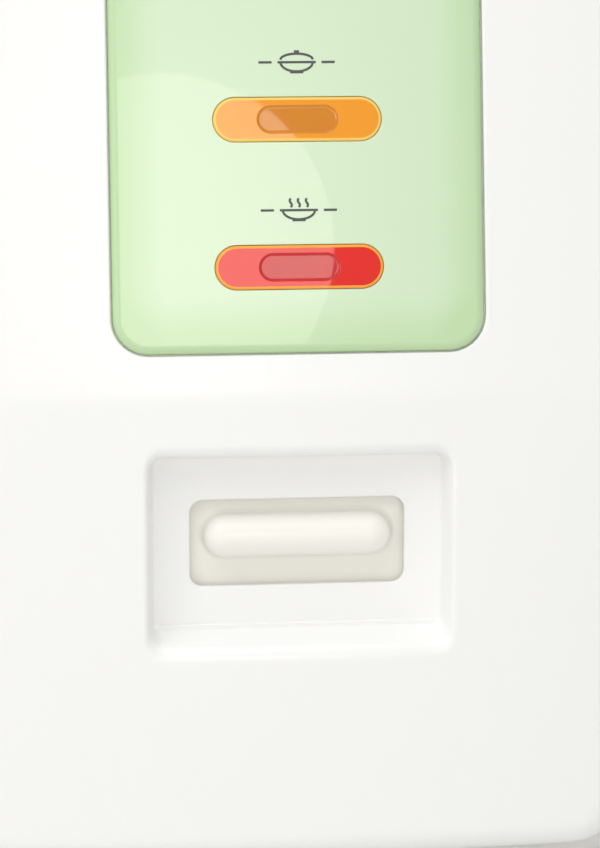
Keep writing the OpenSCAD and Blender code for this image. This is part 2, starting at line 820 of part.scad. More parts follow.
module sensor_cap() {
    color([0.85, 0.86, 0.87]) rotate_extrude() polygon([[0, heater_top_z - cap_t],
        [cap_r - cap_t, heater_top_z - cap_t], [cap_r - cap_t, heater_top_z - 7], [cap_r, heater_top_z - 7],
        [cap_r, heater_top_z - 1], [cap_r - 1, heater_top_z], [0, heater_top_z]]);
}

module sensor_ferrite() {
    color([0.25, 0.25, 0.27]) rod(magnet_r, ferrite_low_z, heater_top_z - cap_t);
}

module sensor_spring() {
    color(steel) coil(spring_coil_r, spring_wire / 2, body_flange_z + body_flange_t + 0.1,
        heater_top_z - cap_t - 0.1, 6);
}

module magnet_cup() {
    color(steel) difference() {
        rod(cup_r, cup_low_z, magnet_top_z);
        rod(magnet_r + 0.1, cup_low_z + cup_t, magnet_top_z + over);
    }
}

module magnet() {
    color([0.2, 0.2, 0.22]) rod(magnet_r, cup_low_z + cup_t, magnet_top_z);
}

module magnet_spring() {
    color(steel) coil(6, 0.3, magnet_top_z + 0.05, ferrite_low_z - 0.05, 3);
}

module warm_thermostat() {
    color(dark) translate([46, 6, 0]) {
        rod(9, shelf_z - 1.2, shelf_z - 0.1);
        rod(8, shelf_z - 9, shelf_z - 1);
        for (x = [-4, 4])
            box([x - 3, -0.4, shelf_z - 14], [x + 3, 0.4, shelf_z - 9]);
    }
}

module thermal_fuse() {
    color([0.85, 0.83, 0.75]) translate([-46, 6, shelf_z - 2.6]) {
        rotate([0, 90, 0]) cylinder(r = 2.2, h = 16, center = true, $fn = small);
        rotate([0, 90, 0]) cylinder(r = 0.5, h = 34, center = true, $fn = small);
        box([-2, -5, 1.5], [2, 5, 2.5]);
    }
}

// ---------------------------------------------------------------- rear cover and power inlet

module rear_cover() {
    r = 6;
    flare = drum_r - drum_r * cos(rear_screw_angle + 3);
    color(white) difference() {
        union() {
            difference() {
                translate([0, 0, inlet_z]) along_y(drum_r - flare - 4, rear_y) rounded_rect(rear_w, rear_h, r);
                translate([0, 0, inlet_z]) along_y(0, rear_y - rear_wall)
                    rounded_rect(rear_w - 2 * rear_wall, rear_h - 2 * rear_wall, r - rear_wall);
            }
            for (a = [-1, 1])
                from_inside(drum_r, 180 + a * rear_screw_angle, inlet_z) rod(3.6, -housing_proud + rear_wall, 0);
        }
        translate([0, 0, -over]) cylinder(r = drum_r + seat_gap, h = drum_top_z);
        translate([0, 0, inlet_z]) along_y(0, rear_y + over)
            rounded_rect(socket_w + 2 * seat_gap, socket_h + 2 * seat_gap, 2.2);
        for (a = [-1, 1])
            from_inside(drum_r, 180 + a * rear_screw_angle, inlet_z) rod(1.4, -8, over);
    }
}

module rear_screws() {
    color(steel) for (a = [-1, 1])
        from_inside(drum_in_r - 0.1, 180 + a * rear_screw_angle, inlet_z) screw(1.35, 8, 3, 2);
}

module inlet_socket() {
    floor_y = rear_y - socket_depth;
    flange_y = rear_y - rear_wall - 0.1;
    color(dark) translate([0, 0, inlet_z]) difference() {
        union() {
            along_y(floor_y - socket_back, rear_y) rounded_rect(socket_w, socket_h, 2);
            along_y(flange_y - 2, flange_y) rounded_rect(socket_w + 5, socket_h + 5, 2.5);
        }
        along_y(floor_y, rear_y + over)
            rounded_rect(socket_w - 2 * socket_wall, socket_h - 2 * socket_wall, 1.2);
        at_pins() along_y(floor_y - 2 * socket_back, floor_y + over) square([2.2, 4.2], center = true);
    }
}

// Places something at each of the three blades
module at_pins() {
    translate([-7, 0, -2]) children();
    translate([7, 0, -2]) children();
    translate([0, 0, 3]) children();
}

module inlet_pins() {
    floor_y = rear_y - socket_depth;
    color([0.80, 0.74, 0.52]) translate([0, 0, inlet_z]) at_pins()
        along_y(floor_y - socket_back - 6, rear_y - 3.5) square([2, 4], center = true);
}

// ---------------------------------------------------------------- handles

// Loop handle whose arms stand on the drum; it points along +X
module handle() {
    grip_x = drum_r + handle_reach;
    r_in = handle_corner_r - handle_grip_t + 3;
    difference() {
        translate([0, 0, handle_z - handle_h / 2]) linear_extrude(handle_h) difference() {
            intersection() {
                translate([grip_x - drum_r, 0]) rounded_rect(2 * drum_r, handle_l, handle_corner_r);
                translate([drum_r / 2, -handle_l]) square([drum_r, 2 * handle_l]);
            }
            translate([grip_x - handle_grip_t - drum_r, 0])
                rounded_rect(2 * drum_r, handle_l - 2 * handle_arm_t, r_in);
        }
        cylinder(r = drum_r + seat_gap, h = drum_top_z);
        for (a = [-1, 1])
            from_inside(drum_r, 90 + a * handle_screw_angle, handle_z) rod(1.7, -14, over);
    }
}

module right_handle() {
    color([0.95, 0.95, 0.94]) handle();
}

module left_handle() {
    color([0.95, 0.95, 0.94]) mirror([1, 0, 0]) handle();
}

module handle_screws() {
    color(steel) for (side = [90, 270], a = [-1, 1])
        from_inside(drum_in_r - 0.15, side + a * handle_screw_angle, handle_z) screw(1.65, 13, 3.4, 2.2);
}

// ---------------------------------------------------------------- pot and lid

module inner_pot() {
    in_corner_r = pot_corner_r - pot_wall;
    color([0.84, 0.85, 0.86]) rotate_extrude() polygon(concat(
        [[0, pot_bottom_z]],
        arc(pot_r - pot_corner_r, pot_bottom_z + pot_corner_r, pot_corner_r, -90, 0),
        [[pot_r, pot_flange_z], [pot_r + pot_flange_w, pot_flange_z], [pot_r + pot_flange_w, pot_top_z]],
        [[pot_in_r, pot_top_z]],
        arc(pot_in_r - in_corner_r, pot_bottom_z + pot_bottom_t + in_corner_r, in_corner_r, 0, -90),
        [[0, pot_bottom_z + pot_bottom_t]]));
}

// Places something on the dome's outer surface at the steam vent, with +Z out of the glass
module at_vent() {
    translate([0, 0, dome_z]) rotate([-vent_angle, 0, 0]) translate([0, 0, dome_r + glass_t]) children();
}

module lid_glass() {
    edge_angle = acos(glass_r / dome_r);
    outer_angle = acos(glass_r / (dome_r + glass_t));
    color([0.75, 0.85, 0.85, 0.45]) difference() {
        rotate_extrude() polygon(concat(
            arc(0, dome_z, dome_r, 90, edge_angle, 20),
            arc(0, dome_z, dome_r + glass_t, outer_angle, 90, 20)));
        rod(knob_screw_r + 1, dome_z, glass_top_z + over);
        at_vent() rod(vent_tube_r + 0.1, -2 * glass_t, 2 * glass_t);
    }
}

// Folded steel band round the glass, with a skirt that drops inside the pot
module lid_rim() {
    lip_r = glass_r - 3;
    outer_edge_z = dome_z + sqrt(pow(dome_r + glass_t, 2) - pow(glass_r, 2));
    lip_z = dome_z + sqrt(pow(dome_r + glass_t, 2) - pow(lip_r, 2)) + 0.15;
    color(steel) rotate_extrude() polygon([
        [rim_skirt_r - rim_sheet, rim_low_z - rim_skirt_h], [rim_skirt_r, rim_low_z - rim_skirt_h],
        [rim_skirt_r, rim_low_z], [rim_r - 0.5, rim_low_z], [rim_r, rim_low_z + 0.5],
        [rim_r, outer_edge_z + 0.4], [rim_r - 1, outer_edge_z + rim_sheet + 0.3],
        [lip_r, lip_z + rim_sheet], [lip_r, lip_z], [glass_r + seat_gap, outer_edge_z + 0.15],
        [glass_r + seat_gap, rim_low_z + rim_sheet], [rim_skirt_r - rim_sheet, rim_low_z + rim_sheet]]);
}

module steam_vent() {
    color(steel) at_vent() difference() {
        union() {
            rod(vent_tube_r, -glass_t - 0.5, 0.5);
            rod(vent_tube_r + 2, 0.1, 0.9);
            rod(vent_tube_r + 2, -glass_t - 1, -glass_t - 0.2);
        }
        rod(vent_bore_r, -2 * glass_t, 2 * glass_t);
    }
}

module knob_seat() {
    color([0.3, 0.3, 0.3]) tube(seat_r, knob_screw_r + 1, seat_z, seat_z + seat_t);
}

module lid_knob() {
    top_z = knob_z + knob_h;
    cap_z = top_z - 8;
    color(dark) difference() {
        rotate_extrude() polygon(concat(
            [[0, knob_z], [seat_r + 2, knob_z], [seat_r + 2, knob_z + 1.5]],
            [[knob_waist_r + 1.5, knob_z + 3.5], [knob_waist_r, knob_z + 5.5], [knob_waist_r, cap_z - 1.5]],
            [[knob_waist_r + 1, cap_z], [knob_r - 1, cap_z]],
            arc(knob_r - 3, cap_z + 3, 3, -45, 60, 5),
            [[knob_r - 6, top_z - 0.6], [0, top_z]]));
        rod(knob_screw_r + pin_gap, knob_z - over, knob_z + 12);
    }
}

module knob_screw() {
    head_z = glass_top_z - glass_t - 0.3;
    color(steel) translate([0, 0, head_z]) mirror([0, 0, 1])
        screw(knob_screw_r, glass_t + seat_t + 12, 5, 2.4);
}

outer_casing();
top_ring();
inner_casing();
base_ring();
base_plate();
feet();
foot_screws();
control_housing();
control_panel();
cook_lens();
warm_lens();
lamp_board();
cook_lamp();
warm_lamp();
board_screws();
housing_screws();
lever_bracket();
bracket_screws();
pivot_pin();
cook_lever();
cook_key();
main_switch();
switch_screws();
switch_plunger();
heater_plate();
heater_tube();
heater_posts();
heater_screws();
thermostat_body();
sensor_cap();
sensor_ferrite();
sensor_spring();
magnet_cup();
magnet();
magnet_spring();
warm_thermostat();
thermal_fuse();
rear_cover();
rear_screws();
inlet_socket();
inlet_pins();
left_handle();
right_handle();
handle_screws();
inner_pot();
lid_glass();
lid_rim();
steam_vent();
knob_seat();
lid_knob();
knob_screw();
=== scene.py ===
# Drum rice cooker: the finish of every piece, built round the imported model. Metres, +Z up, front to -Y.
import math

import bmesh
import bpy
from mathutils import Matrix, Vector
from mathutils.geometry import delaunay_2d_cdt


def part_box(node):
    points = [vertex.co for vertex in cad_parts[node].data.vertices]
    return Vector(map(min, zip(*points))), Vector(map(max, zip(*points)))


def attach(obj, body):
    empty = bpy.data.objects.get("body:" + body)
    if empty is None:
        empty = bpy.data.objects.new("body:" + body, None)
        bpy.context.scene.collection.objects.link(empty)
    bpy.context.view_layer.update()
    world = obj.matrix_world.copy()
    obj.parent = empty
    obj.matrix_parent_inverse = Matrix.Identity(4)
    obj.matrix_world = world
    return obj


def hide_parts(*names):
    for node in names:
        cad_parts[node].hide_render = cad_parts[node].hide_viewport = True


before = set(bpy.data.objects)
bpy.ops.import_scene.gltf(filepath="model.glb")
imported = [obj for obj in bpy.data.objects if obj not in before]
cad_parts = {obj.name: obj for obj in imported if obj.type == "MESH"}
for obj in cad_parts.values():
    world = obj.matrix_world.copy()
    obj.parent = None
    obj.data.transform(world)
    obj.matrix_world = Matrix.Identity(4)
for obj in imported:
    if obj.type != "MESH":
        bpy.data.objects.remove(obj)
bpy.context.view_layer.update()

MM = 0.001

# ---- Table and backdrop ---------------------------------------------------------------------------
# The cooker stands on a plain white laminate table that runs out into a white studio backdrop.
# The table keeps the cooker's soft shadow near it and fades to the backdrop's white further out.


def linear(hex_colour):
    """sRGB hex, such as "F4F3EF", to a linear colour with alpha."""
    parts = [int(hex_colour[i:i + 2], 16) / 255 for i in (0, 2, 4)]
    return [c / 12.92 if c <= 0.04045 else ((c + 0.055) / 1.055) ** 2.4 for c in parts] + [1.0]


def add(tree, kind, inputs=None, **settings):
    """Adds a node to a shader or geometry tree, sets it, and sets or links its inputs."""
    made = tree.nodes.new(kind)
    for key, value in settings.items():
        setattr(made, key, value)
    for key, value in (inputs or {}).items():
        if isinstance(value, bpy.types.NodeSocket):
            tree.links.new(value, made.inputs[key])
        else:
            made.inputs[key].default_value = value
    return made


def new_material(name):
    """An empty material and its node tree."""
    made = bpy.data.materials.new(name)
    made.use_nodes = True
    made.node_tree.nodes.clear()
    return made, made.node_tree


def white_table():
    made, tree = new_material("white_laminate_table")
    fade_from, fade_to = 0.45, 1.5
    place = add(tree, "ShaderNodeTexCoord").outputs["Object"]
    away = add(tree, "ShaderNodeVectorMath", {0: place}, operation="LENGTH").outputs["Value"]
    fade = add(tree, "ShaderNodeMapRange", {"Value": away, "From Min": fade_from, "From Max": fade_to},
               interpolation_type="SMOOTHSTEP")
    ray = add(tree, "ShaderNodeLightPath")
    seen = add(tree, "ShaderNodeMath", {0: ray.outputs["Is Camera Ray"], 1: ray.outputs["Is Glossy Ray"]},
               operation="ADD", use_clamp=True)
    seen = add(tree, "ShaderNodeMath", {0: seen.outputs[0], 1: ray.outputs["Is Transmission Ray"]},
               operation="ADD", use_clamp=True)
    share = add(tree, "ShaderNodeMath", {0: fade.outputs["Result"], 1: seen.outputs[0]}, operation="MULTIPLY")
    plain = add(tree, "ShaderNodeBsdfDiffuse", {"Color": linear("F4F4F2")})
    white = add(tree, "ShaderNodeEmission", {"Color": (1, 1, 1, 1), "Strength": 1.0})
    mixed = add(tree, "ShaderNodeMixShader", {0: share.outputs[0], 1: plain.outputs[0], 2: white.outputs[0]})
    add(tree, "ShaderNodeOutputMaterial", {"Surface": mixed.outputs[0]})
    return made


table_r = 9.0
bm = bmesh.new()
bmesh.ops.create_circle(bm, cap_ends=True, radius=table_r, segments=96)
table_mesh = bpy.data.meshes.new("table_top")
bm.to_mesh(table_mesh)
bm.free()
table_mesh.materials.append(white_table())
table_top = bpy.data.objects.new("table_top", table_mesh)
bpy.context.collection.objects.link(table_top)

scene = bpy.context.scene
scene.view_settings.view_transform = "Standard"
world = bpy.data.worlds.new("studio")
world.use_nodes = True
world.node_tree.nodes.clear()
tree = world.node_tree
ray = add(tree, "ShaderNodeLightPath")
seen = add(tree, "ShaderNodeMath", {0: ray.outputs["Is Camera Ray"], 1: ray.outputs["Is Transmission Ray"]},
           operation="ADD", use_clamp=True)
ambient = add(tree, "ShaderNodeBackground", {"Color": (0.985, 0.99, 1.0, 1), "Strength": 0.55})
backdrop = add(tree, "ShaderNodeBackground", {"Color": (1, 1, 1, 1), "Strength": 1.0})
mixed = add(tree, "ShaderNodeMixShader", {0: seen.outputs[0], 1: ambient.outputs[0], 2: backdrop.outputs[0]})
add(tree, "ShaderNodeOutputWorld", {"Surface": mixed.outputs[0]})
scene.world = world

# ---- Camera and lamps -----------------------------------------------------------------------------
# A close-up of the key and panel from a little left of the middle and a little above, with a long lens.
# A large softbox overhead gives the light, and a small round one in front is mirrored in the panel.
housing_lo, housing_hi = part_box("control_housing")
front_y = housing_lo.y
view_azimuth, view_elevation = math.radians(-6.5), math.radians(9.5)
view_distance = 0.47
target = Vector((-0.0002, front_y, 0.0746))


def direction(azimuth, elevation):
    """Unit vector from the front of the cooker outwards; azimuth 0 is straight out of the front."""
    return Vector((math.sin(azimuth) * math.cos(elevation), -math.cos(azimuth) * math.cos(elevation),
                   math.sin(elevation)))


camera_data = bpy.data.cameras.new("close_up")
camera_data.lens, camera_data.sensor_width = 146.7, 36.0
camera_data.clip_start, camera_data.clip_end = 0.01, 50.0
camera = bpy.data.objects.new("close_up", camera_data)
camera.location = target + direction(view_azimuth, view_elevation) * view_distance
camera.rotation_mode = "QUATERNION"
camera.rotation_quaternion = (target - camera.location).to_track_quat("-Z", "Y")
bpy.context.collection.objects.link(camera)
scene.camera = camera


def area_lamp(name, place, aim, size, power, shape="RECTANGLE"):
    """An area lamp at place that shines at aim; size is its width and height, power its watts."""
    lamp = bpy.data.lights.new(name, "AREA")
    lamp.shape, lamp.size, lamp.size_y, lamp.energy = shape, size[0], size[1], power
    made = bpy.data.objects.new(name, lamp)
    made.location = place
    made.rotation_mode = "QUATERNION"
    made.rotation_quaternion = (Vector(aim) - Vector(place)).to_track_quat("-Z", "Y")
    made.visible_camera = False
    bpy.context.collection.objects.link(made)
    return made


area_lamp("overhead_softbox", (-0.35, -0.75, 1.35), (0, 0, 0.12), (1.3, 1.1), 9.0)
area_lamp("left_fill", (-1.3, -0.9, 0.5), (0, 0, 0.12), (0.9, 0.9), 2.3)

# ---- Drum -----------------------------------------------------------------------------------------
# A 0.8 mm steel sheet rolled into a drum, seam-welded and powder-coated white; it stands in the base ring.
# A spun stainless ring caps its upper edge, and the aluminised heat shield hangs inside it from that ring.


class Shell:
    """Collects rings of points and the faces between them in one bmesh."""

    def __init__(self):
        self.bm = bmesh.new()
        self.true_normal = self.bm.verts.layers.float_vector.new("true_normal")

    def ring(self, outline, place):
        """Adds a closed ring; place turns a point of the outline into metres."""
        return [(self.bm.verts.new(place(x, y)), x, y) for x, y, *_ in outline]

    def join(self, a, b, slot=0):
        """Quads from ring a to ring b, which has as many points."""
        for i in range(len(a)):
            j = (i + 1) % len(a)
            self.bm.faces.new((a[i][0], a[j][0], b[j][0], b[i][0])).material_index = slot

    def cap(self, ring, slot=0):
        """One flat face across a ring."""
        self.bm.faces.new([v for v, _, _ in ring]).material_index = slot

    def fill(self, outer, holes, place, pitch=0.0, rows=(), slot=0, clear=0.7, normal=None):
        """Triangles between a ring and the holes in it, with a grid of points between them.

        normal gives the surface's true normal at a point, so that it mirrors without facets."""
        loops = [outer, *holes]
        known = [v for loop in loops for v in loop]
        flat = [(x, y) for _, x, y in known]
        edges, at = [], 0
        for loop in loops:
            edges += [(at + i, at + (i + 1) % len(loop)) for i in range(len(loop))]
            at += len(loop)
        inside = [[(x, y) for _, x, y in loop] for loop in loops]
        if pitch:
            xs, ys = [p[0] for p in inside[0]], [p[1] for p in inside[0]]
            across = max(2, round((max(xs) - min(xs)) / pitch))
            up = max(2, round((max(ys) - min(ys)) / pitch))
            columns = [min(xs) + (max(xs) - min(xs)) * i / across for i in range(1, across)]
            lines = [min(ys) + (max(ys) - min(ys)) * i / up for i in range(1, up)]
            lines = [y for y in lines if all(abs(y - r) > pitch / 2 for r in rows)] + list(rows)
            for y in lines:
                for x in columns:
                    near = min((x - a) ** 2 + (y - b) ** 2 for a, b in flat[:len(known)])
                    if near > clear * clear and in_region(x, y, inside):
                        flat.append((x, y))
        made, _, faces, source, _, _ = delaunay_2d_cdt([Vector(p) for p in flat], edges, [], 0, 1e-6)
        corner = []
        for i, p in enumerate(made):
            k = source[i][0] if source[i] else -1
            corner.append(known[k][0] if 0 <= k < len(known) else self.bm.verts.new(place(p.x, p.y)))
            if normal:
                corner[-1][self.true_normal] = normal(p.x, p.y)
        for f in faces:
            x, y = sum(made[i].x for i in f) / 3, sum(made[i].y for i in f) / 3
            if in_region(x, y, inside):
                self.bm.faces.new([corner[i] for i in f]).material_index = slot

    def piece(self, name, materials, sharp=35.0):
        """The finished object, with faces turned outwards and edges over the sharp angle kept."""
        bmesh.ops.remove_doubles(self.bm, verts=self.bm.verts, dist=1e-7)
        loose = [v for v in self.bm.verts if not v.link_faces]
        bmesh.ops.delete(self.bm, geom=loose, context="VERTS")
        bmesh.ops.recalc_face_normals(self.bm, faces=self.bm.faces)
        mesh = bpy.data.meshes.new(name)
        self.bm.to_mesh(mesh)
        self.bm.free()
        mesh.shade_smooth()
        mesh.set_sharp_from_angle(angle=math.radians(sharp))
        known = [Vector(v.vector) for v in mesh.attributes["true_normal"].data]
        if any(n.length > 0.5 for n in known):
            whole = [n if n.length > 0.5 else v.normal for n, v in zip(known, mesh.vertices)]
            mesh.normals_split_custom_set_from_vertices(whole)
        mesh.attributes.remove(mesh.attributes["true_normal"])
        for material in materials:
            mesh.materials.append(material)
        made = bpy.data.objects.new(name, mesh)
        bpy.context.collection.objects.link(made)
        return made


def in_region(x, y, loops):
    """True inside the first loop and outside the others."""
    odd = False
    for loop in loops:
        for (ax, ay), (bx, by) in zip(loop, loop[1:] + loop[:1]):
            if (ay > y) != (by > y) and x < ax + (y - ay) / (by - ay) * (bx - ax):
                odd = not odd
    return odd


def rounded_profile(points, steps=5):
    """The closed profile of (r, z, corner radius) points, its corners replaced with arcs."""
    made = []
    for i, (r, z, fillet) in enumerate(points):
        p = Vector((r, z))
        if not fillet:
            made.append(p)
            continue
        a = (Vector(points[i - 1][:2]) - p).normalized()
        b = (Vector(points[(i + 1) % len(points)][:2]) - p).normalized()
        half = math.acos(max(-1.0, min(1.0, a.dot(b)))) / 2
        middle = p + (a + b).normalized() * fillet / math.sin(half)
        first, last = p + a * fillet / math.tan(half) - middle, p + b * fillet / math.tan(half) - middle
        turn = first.angle_signed(last)
        count = max(steps, round(fillet * abs(turn) / 1.5))
        for k in range(count + 1):
            c, s = math.cos(-turn * k / count), math.sin(-turn * k / count)
            made.append(middle + Vector((first.x * c - first.y * s, first.x * s + first.y * c)))
    return made


def lathe(name, profile, materials, segments=144):
    """Turns a closed profile in mm about Z."""
    shell = Shell()
    points = rounded_profile(profile)
    rings = []
    for p in points:
        if p.x < 1e-6:
            rings.append(shell.bm.verts.new((0, 0, p.y * MM)))
        else:
            turn = [2 * math.pi * k / segments for k in range(segments)]
            rings.append(shell.ring([(p.x * math.cos(a), p.x * math.sin(a)) for a in turn],
                                    lambda x, y: (x * MM, y * MM, p.y * MM)))
    for a, b in zip(rings, rings[1:] + rings[:1]):
        if isinstance(a, list) and isinstance(b, list):
            shell.join(a, b)
        elif isinstance(a, list) or isinstance(b, list):
            pole, ring = (a, b) if isinstance(b, list) else (b, a)
            for k in range(segments):
                shell.bm.faces.new((ring[k][0], ring[(k + 1) % segments][0], pole))
    return shell.piece(name, materials)


def surface(name, light, dark, rough, patch=25.0, grain=0.4, bump=0.05, stretch=(1, 1, 1), spun=False,
            **inputs):
    """A surface whose tone drifts between two colours over patch mm, with a grain in its gloss and height.

    stretch draws the grain out along an axis, and spun turns it into rings about Z."""
    made, tree = new_material(name)
    place = add(tree, "ShaderNodeTexCoord").outputs["Object"]
    if spun:
        flat = add(tree, "ShaderNodeVectorMath", {0: place, 1: (1, 1, 0)}, operation="MULTIPLY")
        radius = add(tree, "ShaderNodeVectorMath", {0: flat.outputs[0]}, operation="LENGTH").outputs["Value"]
        height = add(tree, "ShaderNodeSeparateXYZ", {0: place}).outputs["Z"]
        along = add(tree, "ShaderNodeCombineXYZ", {"X": radius, "Z": height}).outputs[0]
    else:
        along = add(tree, "ShaderNodeVectorMath", {0: place, 1: stretch}, operation="MULTIPLY").outputs[0]
    fine = add(tree, "ShaderNodeTexNoise", {"Vector": along, "Scale": 1 / (grain * MM), "Detail": 2.0})
    drift = add(tree, "ShaderNodeTexNoise", {"Vector": place, "Scale": 1 / (patch * MM), "Detail": 2.0})
    tone = add(tree, "ShaderNodeMix", {"Factor": drift.outputs["Fac"]}, data_type="RGBA")
    tone.inputs[6].default_value, tone.inputs[7].default_value = linear(light), linear(dark)
    gloss = add(tree, "ShaderNodeMapRange", {"Value": fine.outputs["Fac"], "From Min": 0.3, "From Max": 0.7,
                                             "To Min": rough * 0.85, "To Max": rough * 1.2})
    relief = add(tree, "ShaderNodeBump", {"Height": fine.outputs["Fac"], "Strength": bump,
                                          "Distance": 0.1 * MM})
    body = add(tree, "ShaderNodeBsdfPrincipled", {"Base Color": tone.outputs[2],
                                                  "Roughness": gloss.outputs[0],
                                                  "Normal": relief.outputs[0], **inputs})
    add(tree, "ShaderNodeOutputMaterial", {"Surface": body.outputs[0]})
    return made


def dress(material, slot, *names):
    """Gives CAD nodes that stay in view their material. slot is not used."""
    for node in names:
        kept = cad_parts[node]
        kept.data.materials.clear()
        kept.data.materials.append(material)


# Powder coat: a thick white polyester paint with a very fine orange peel.
white_enamel = surface("white_powder_coat", "F6F6F4", "F2F2F0", 0.28, patch=60, grain=0.5, bump=0.02,
                       **{"Coat Weight": 0.3, "Coat Roughness": 0.08})
# Stainless steel spun on a lathe: fine rings left by the finishing pad.
spun_steel = surface("spun_stainless", "C9CACB", "BDBEC0", 0.24, patch=30, grain=0.25, bump=0.12, spun=True,
                     Metallic=1.0)
# Steel sheet with a hot-dipped aluminium skin: matt, with a frosted spangle.
aluminised = surface("aluminised_steel", "BFC1C2", "A9ABAD", 0.42, patch=9, grain=0.8, bump=0.1, Metallic=1.0)

drum_lo, drum_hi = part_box("outer_casing")
drum_r, drum_t = 128.0, 0.8
drum_z = (drum_lo.z / MM, drum_hi.z / MM)
drum = lathe("drum", [(drum_r - drum_t, drum_z[0], 0.3), (drum_r, drum_z[0], 0.3), (drum_r, drum_z[1], 0.3),
                      (drum_r - drum_t, drum_z[1], 0.3)], [white_enamel], segments=192)
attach(drum, "housing")
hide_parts("outer_casing")

ring = lathe("top_cap_ring", [(118.4, 195.8, 0.3), (119.6, 195.8, 0.3), (119.6, 203.8, 0.4),
                              (128.2, 203.8, 0.4), (128.2, 197.8, 0.3), (129.6, 197.8, 0.5),
                              (129.6, 206.8, 2.4), (118.4, 206.8, 1.5)], [spun_steel], segments=192)
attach(ring, "housing")
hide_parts("top_ring")
dress(aluminised, "aluminised_steel", "inner_casing")

# ---- Base -----------------------------------------------------------------------------------------
# A moulded ring of white polypropylene carries the drum; a zinc-plated plate with air slots closes it.
# Four grey rubber feet stand under the plate, each held by a screw in a recess from below.


def repeat_round(one, count, radius, start, material):
    """Repeats the mesh of an object about Z with a Geometry Nodes group, and keeps the plain mesh."""
    group = bpy.data.node_groups.new(one.name + "_round", "GeometryNodeTree")
    ports = group.interface
    ports.new_socket("Geometry", in_out="OUTPUT", socket_type="NodeSocketGeometry")
    ports.new_socket("Geometry", in_out="INPUT", socket_type="NodeSocketGeometry")
    settings = [("Count", "NodeSocketInt", count), ("Radius", "NodeSocketFloat", radius),
                ("Start angle", "NodeSocketFloat", start), ("Material", "NodeSocketMaterial", material)]
    sockets = [ports.new_socket(label, in_out="INPUT", socket_type=kind) for label, kind, _ in settings]
    given = add(group, "NodeGroupInput").outputs
    step = add(group, "ShaderNodeMath", {0: 2 * math.pi, 1: given["Count"]}, operation="DIVIDE")
    index = add(group, "GeometryNodeInputIndex")
    turn = add(group, "ShaderNodeMath", {0: index.outputs[0], 1: step.outputs[0], 2: given["Start angle"]},
               operation="MULTIPLY_ADD").outputs[0]
    spin = add(group, "ShaderNodeCombineXYZ", {"Z": turn})
    out = add(group, "ShaderNodeCombineXYZ", {"X": given["Radius"]})
    place = add(group, "ShaderNodeVectorRotate", {"Vector": out.outputs[0], "Rotation": spin.outputs[0]},
                rotation_type="EULER_XYZ")
    points = add(group, "GeometryNodePoints", {"Count": given["Count"], "Position": place.outputs[0]})
    placed = add(group, "GeometryNodeInstanceOnPoints",
                 {"Points": points.outputs[0], "Instance": given["Geometry"], "Rotation": spin.outputs[0]})
    real = add(group, "GeometryNodeRealizeInstances", {"Geometry": placed.outputs[0]})
    faced = add(group, "GeometryNodeSetMaterial", {"Geometry": real.outputs[0],
                                                   "Material": given["Material"]})
    add(group, "NodeGroupOutput", {"Geometry": faced.outputs[0]})
    modifier = one.modifiers.new("round", "NODES")
    modifier.node_group = group
    for socket, (_, _, value) in zip(sockets, settings):
        modifier[socket.identifier] = value
    mesh = bpy.data.meshes.new_from_object(one.evaluated_get(bpy.context.evaluated_depsgraph_get()))
    one.modifiers.clear()
    one.data = mesh


# Polypropylene: softer and a little duller than the ABS front.
white_pp = surface("moulded_white_pp", "F1F0ED", "ECEBE8", 0.38, patch=30, grain=0.5, bump=0.08)
# Zinc plate with a clear chromate: pale, slightly blue, unevenly bright.
zinc = surface("zinc_plated_steel", "C3C7CB", "B4B8BA", 0.34, patch=12, grain=0.35, bump=0.06, Metallic=1.0)
# Moulded nitrile rubber: matt, with a fine bloom.
rubber = surface("grey_rubber", "5A5C5E", "505254", 0.72, patch=6, grain=0.3, bump=0.12)
base_ring = lathe("base_moulding", [(111.7, 7.4, 0), (111.7, 9.2, 0.4), (124.8, 9.2, 0.5), (124.8, 20, 0.4),
                                    (127, 20, 0.4), (127, 12, 0.2), (128.8, 12, 0.5), (128.8, 6, 1.7),
                                    (123.9, 6, 0.3), (123.9, 7.4, 0.2)], [white_pp], segments=192)
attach(base_ring, "housing")
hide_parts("base_ring")
dress(zinc, "zinc_steel", "base_plate", "foot_screws")

feet = lathe("rubber_feet", [(1.9, 3.5, 0), (4, 3.5, 0.2), (4, 0, 0.3), (7.7, 0, 0.7), (8.5, 1.2, 0.6),
                             (9, 5.6, 0.2), (9, 6, 0.2), (1.9, 6, 0)], [rubber], segments=48)
repeat_round(feet, 4, 104 * MM, math.radians(45), rubber)
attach(feet, "housing")
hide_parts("feet")

# ---- Control housing ------------------------------------------------------------------------------
# The box on the front of the drum: one shell of injection-moulded white ABS, 1.1 mm at the key pocket.
# Its front curves gently from side to side and leans back above a soft crease; screws hold it from inside.
housing_w = (housing_hi.x - housing_lo.x) / MM
housing_bottom, housing_top = housing_lo.z / MM, housing_hi.z / MM
front_curve_r = 400.0
crease_z, lean, crease_r = 78.3, math.radians(8), 17.0
drum_seat_r = 128.25
shell_t = 1.1


def on_face(u, s, depth, flat=0.0):
    """A point given in mm: u across the front, s up along it from the crease, depth into the housing.

    flat 0 follows the front's sideways curve, flat 1 ignores it."""
    half = crease_r * lean / 2
    turn = min(max((s + half) / crease_r, 0.0), lean)
    y, z = crease_r * (1 - math.cos(turn)), crease_r * math.sin(turn) - half
    rest = min(s + half, 0.0) + max(s - half, 0.0)
    y, z = y + rest * math.sin(turn), z + rest * math.cos(turn)
    deep = depth + (1 - flat) * u * u / (2 * front_curve_r)
    y, z = y + deep * math.cos(turn), z - deep * math.sin(turn)
    return Vector((u * MM, front_y + y * MM, (crease_z + z) * MM))


def face_normal(u, s):
    """Outward normal of the housing's front, and of anything laid along it."""
    across = on_face(u + 0.5, s, 0) - on_face(u - 0.5, s, 0)
    upward = on_face(u, s + 0.5, 0) - on_face(u, s - 0.5, 0)
    return across.cross(upward).normalized()


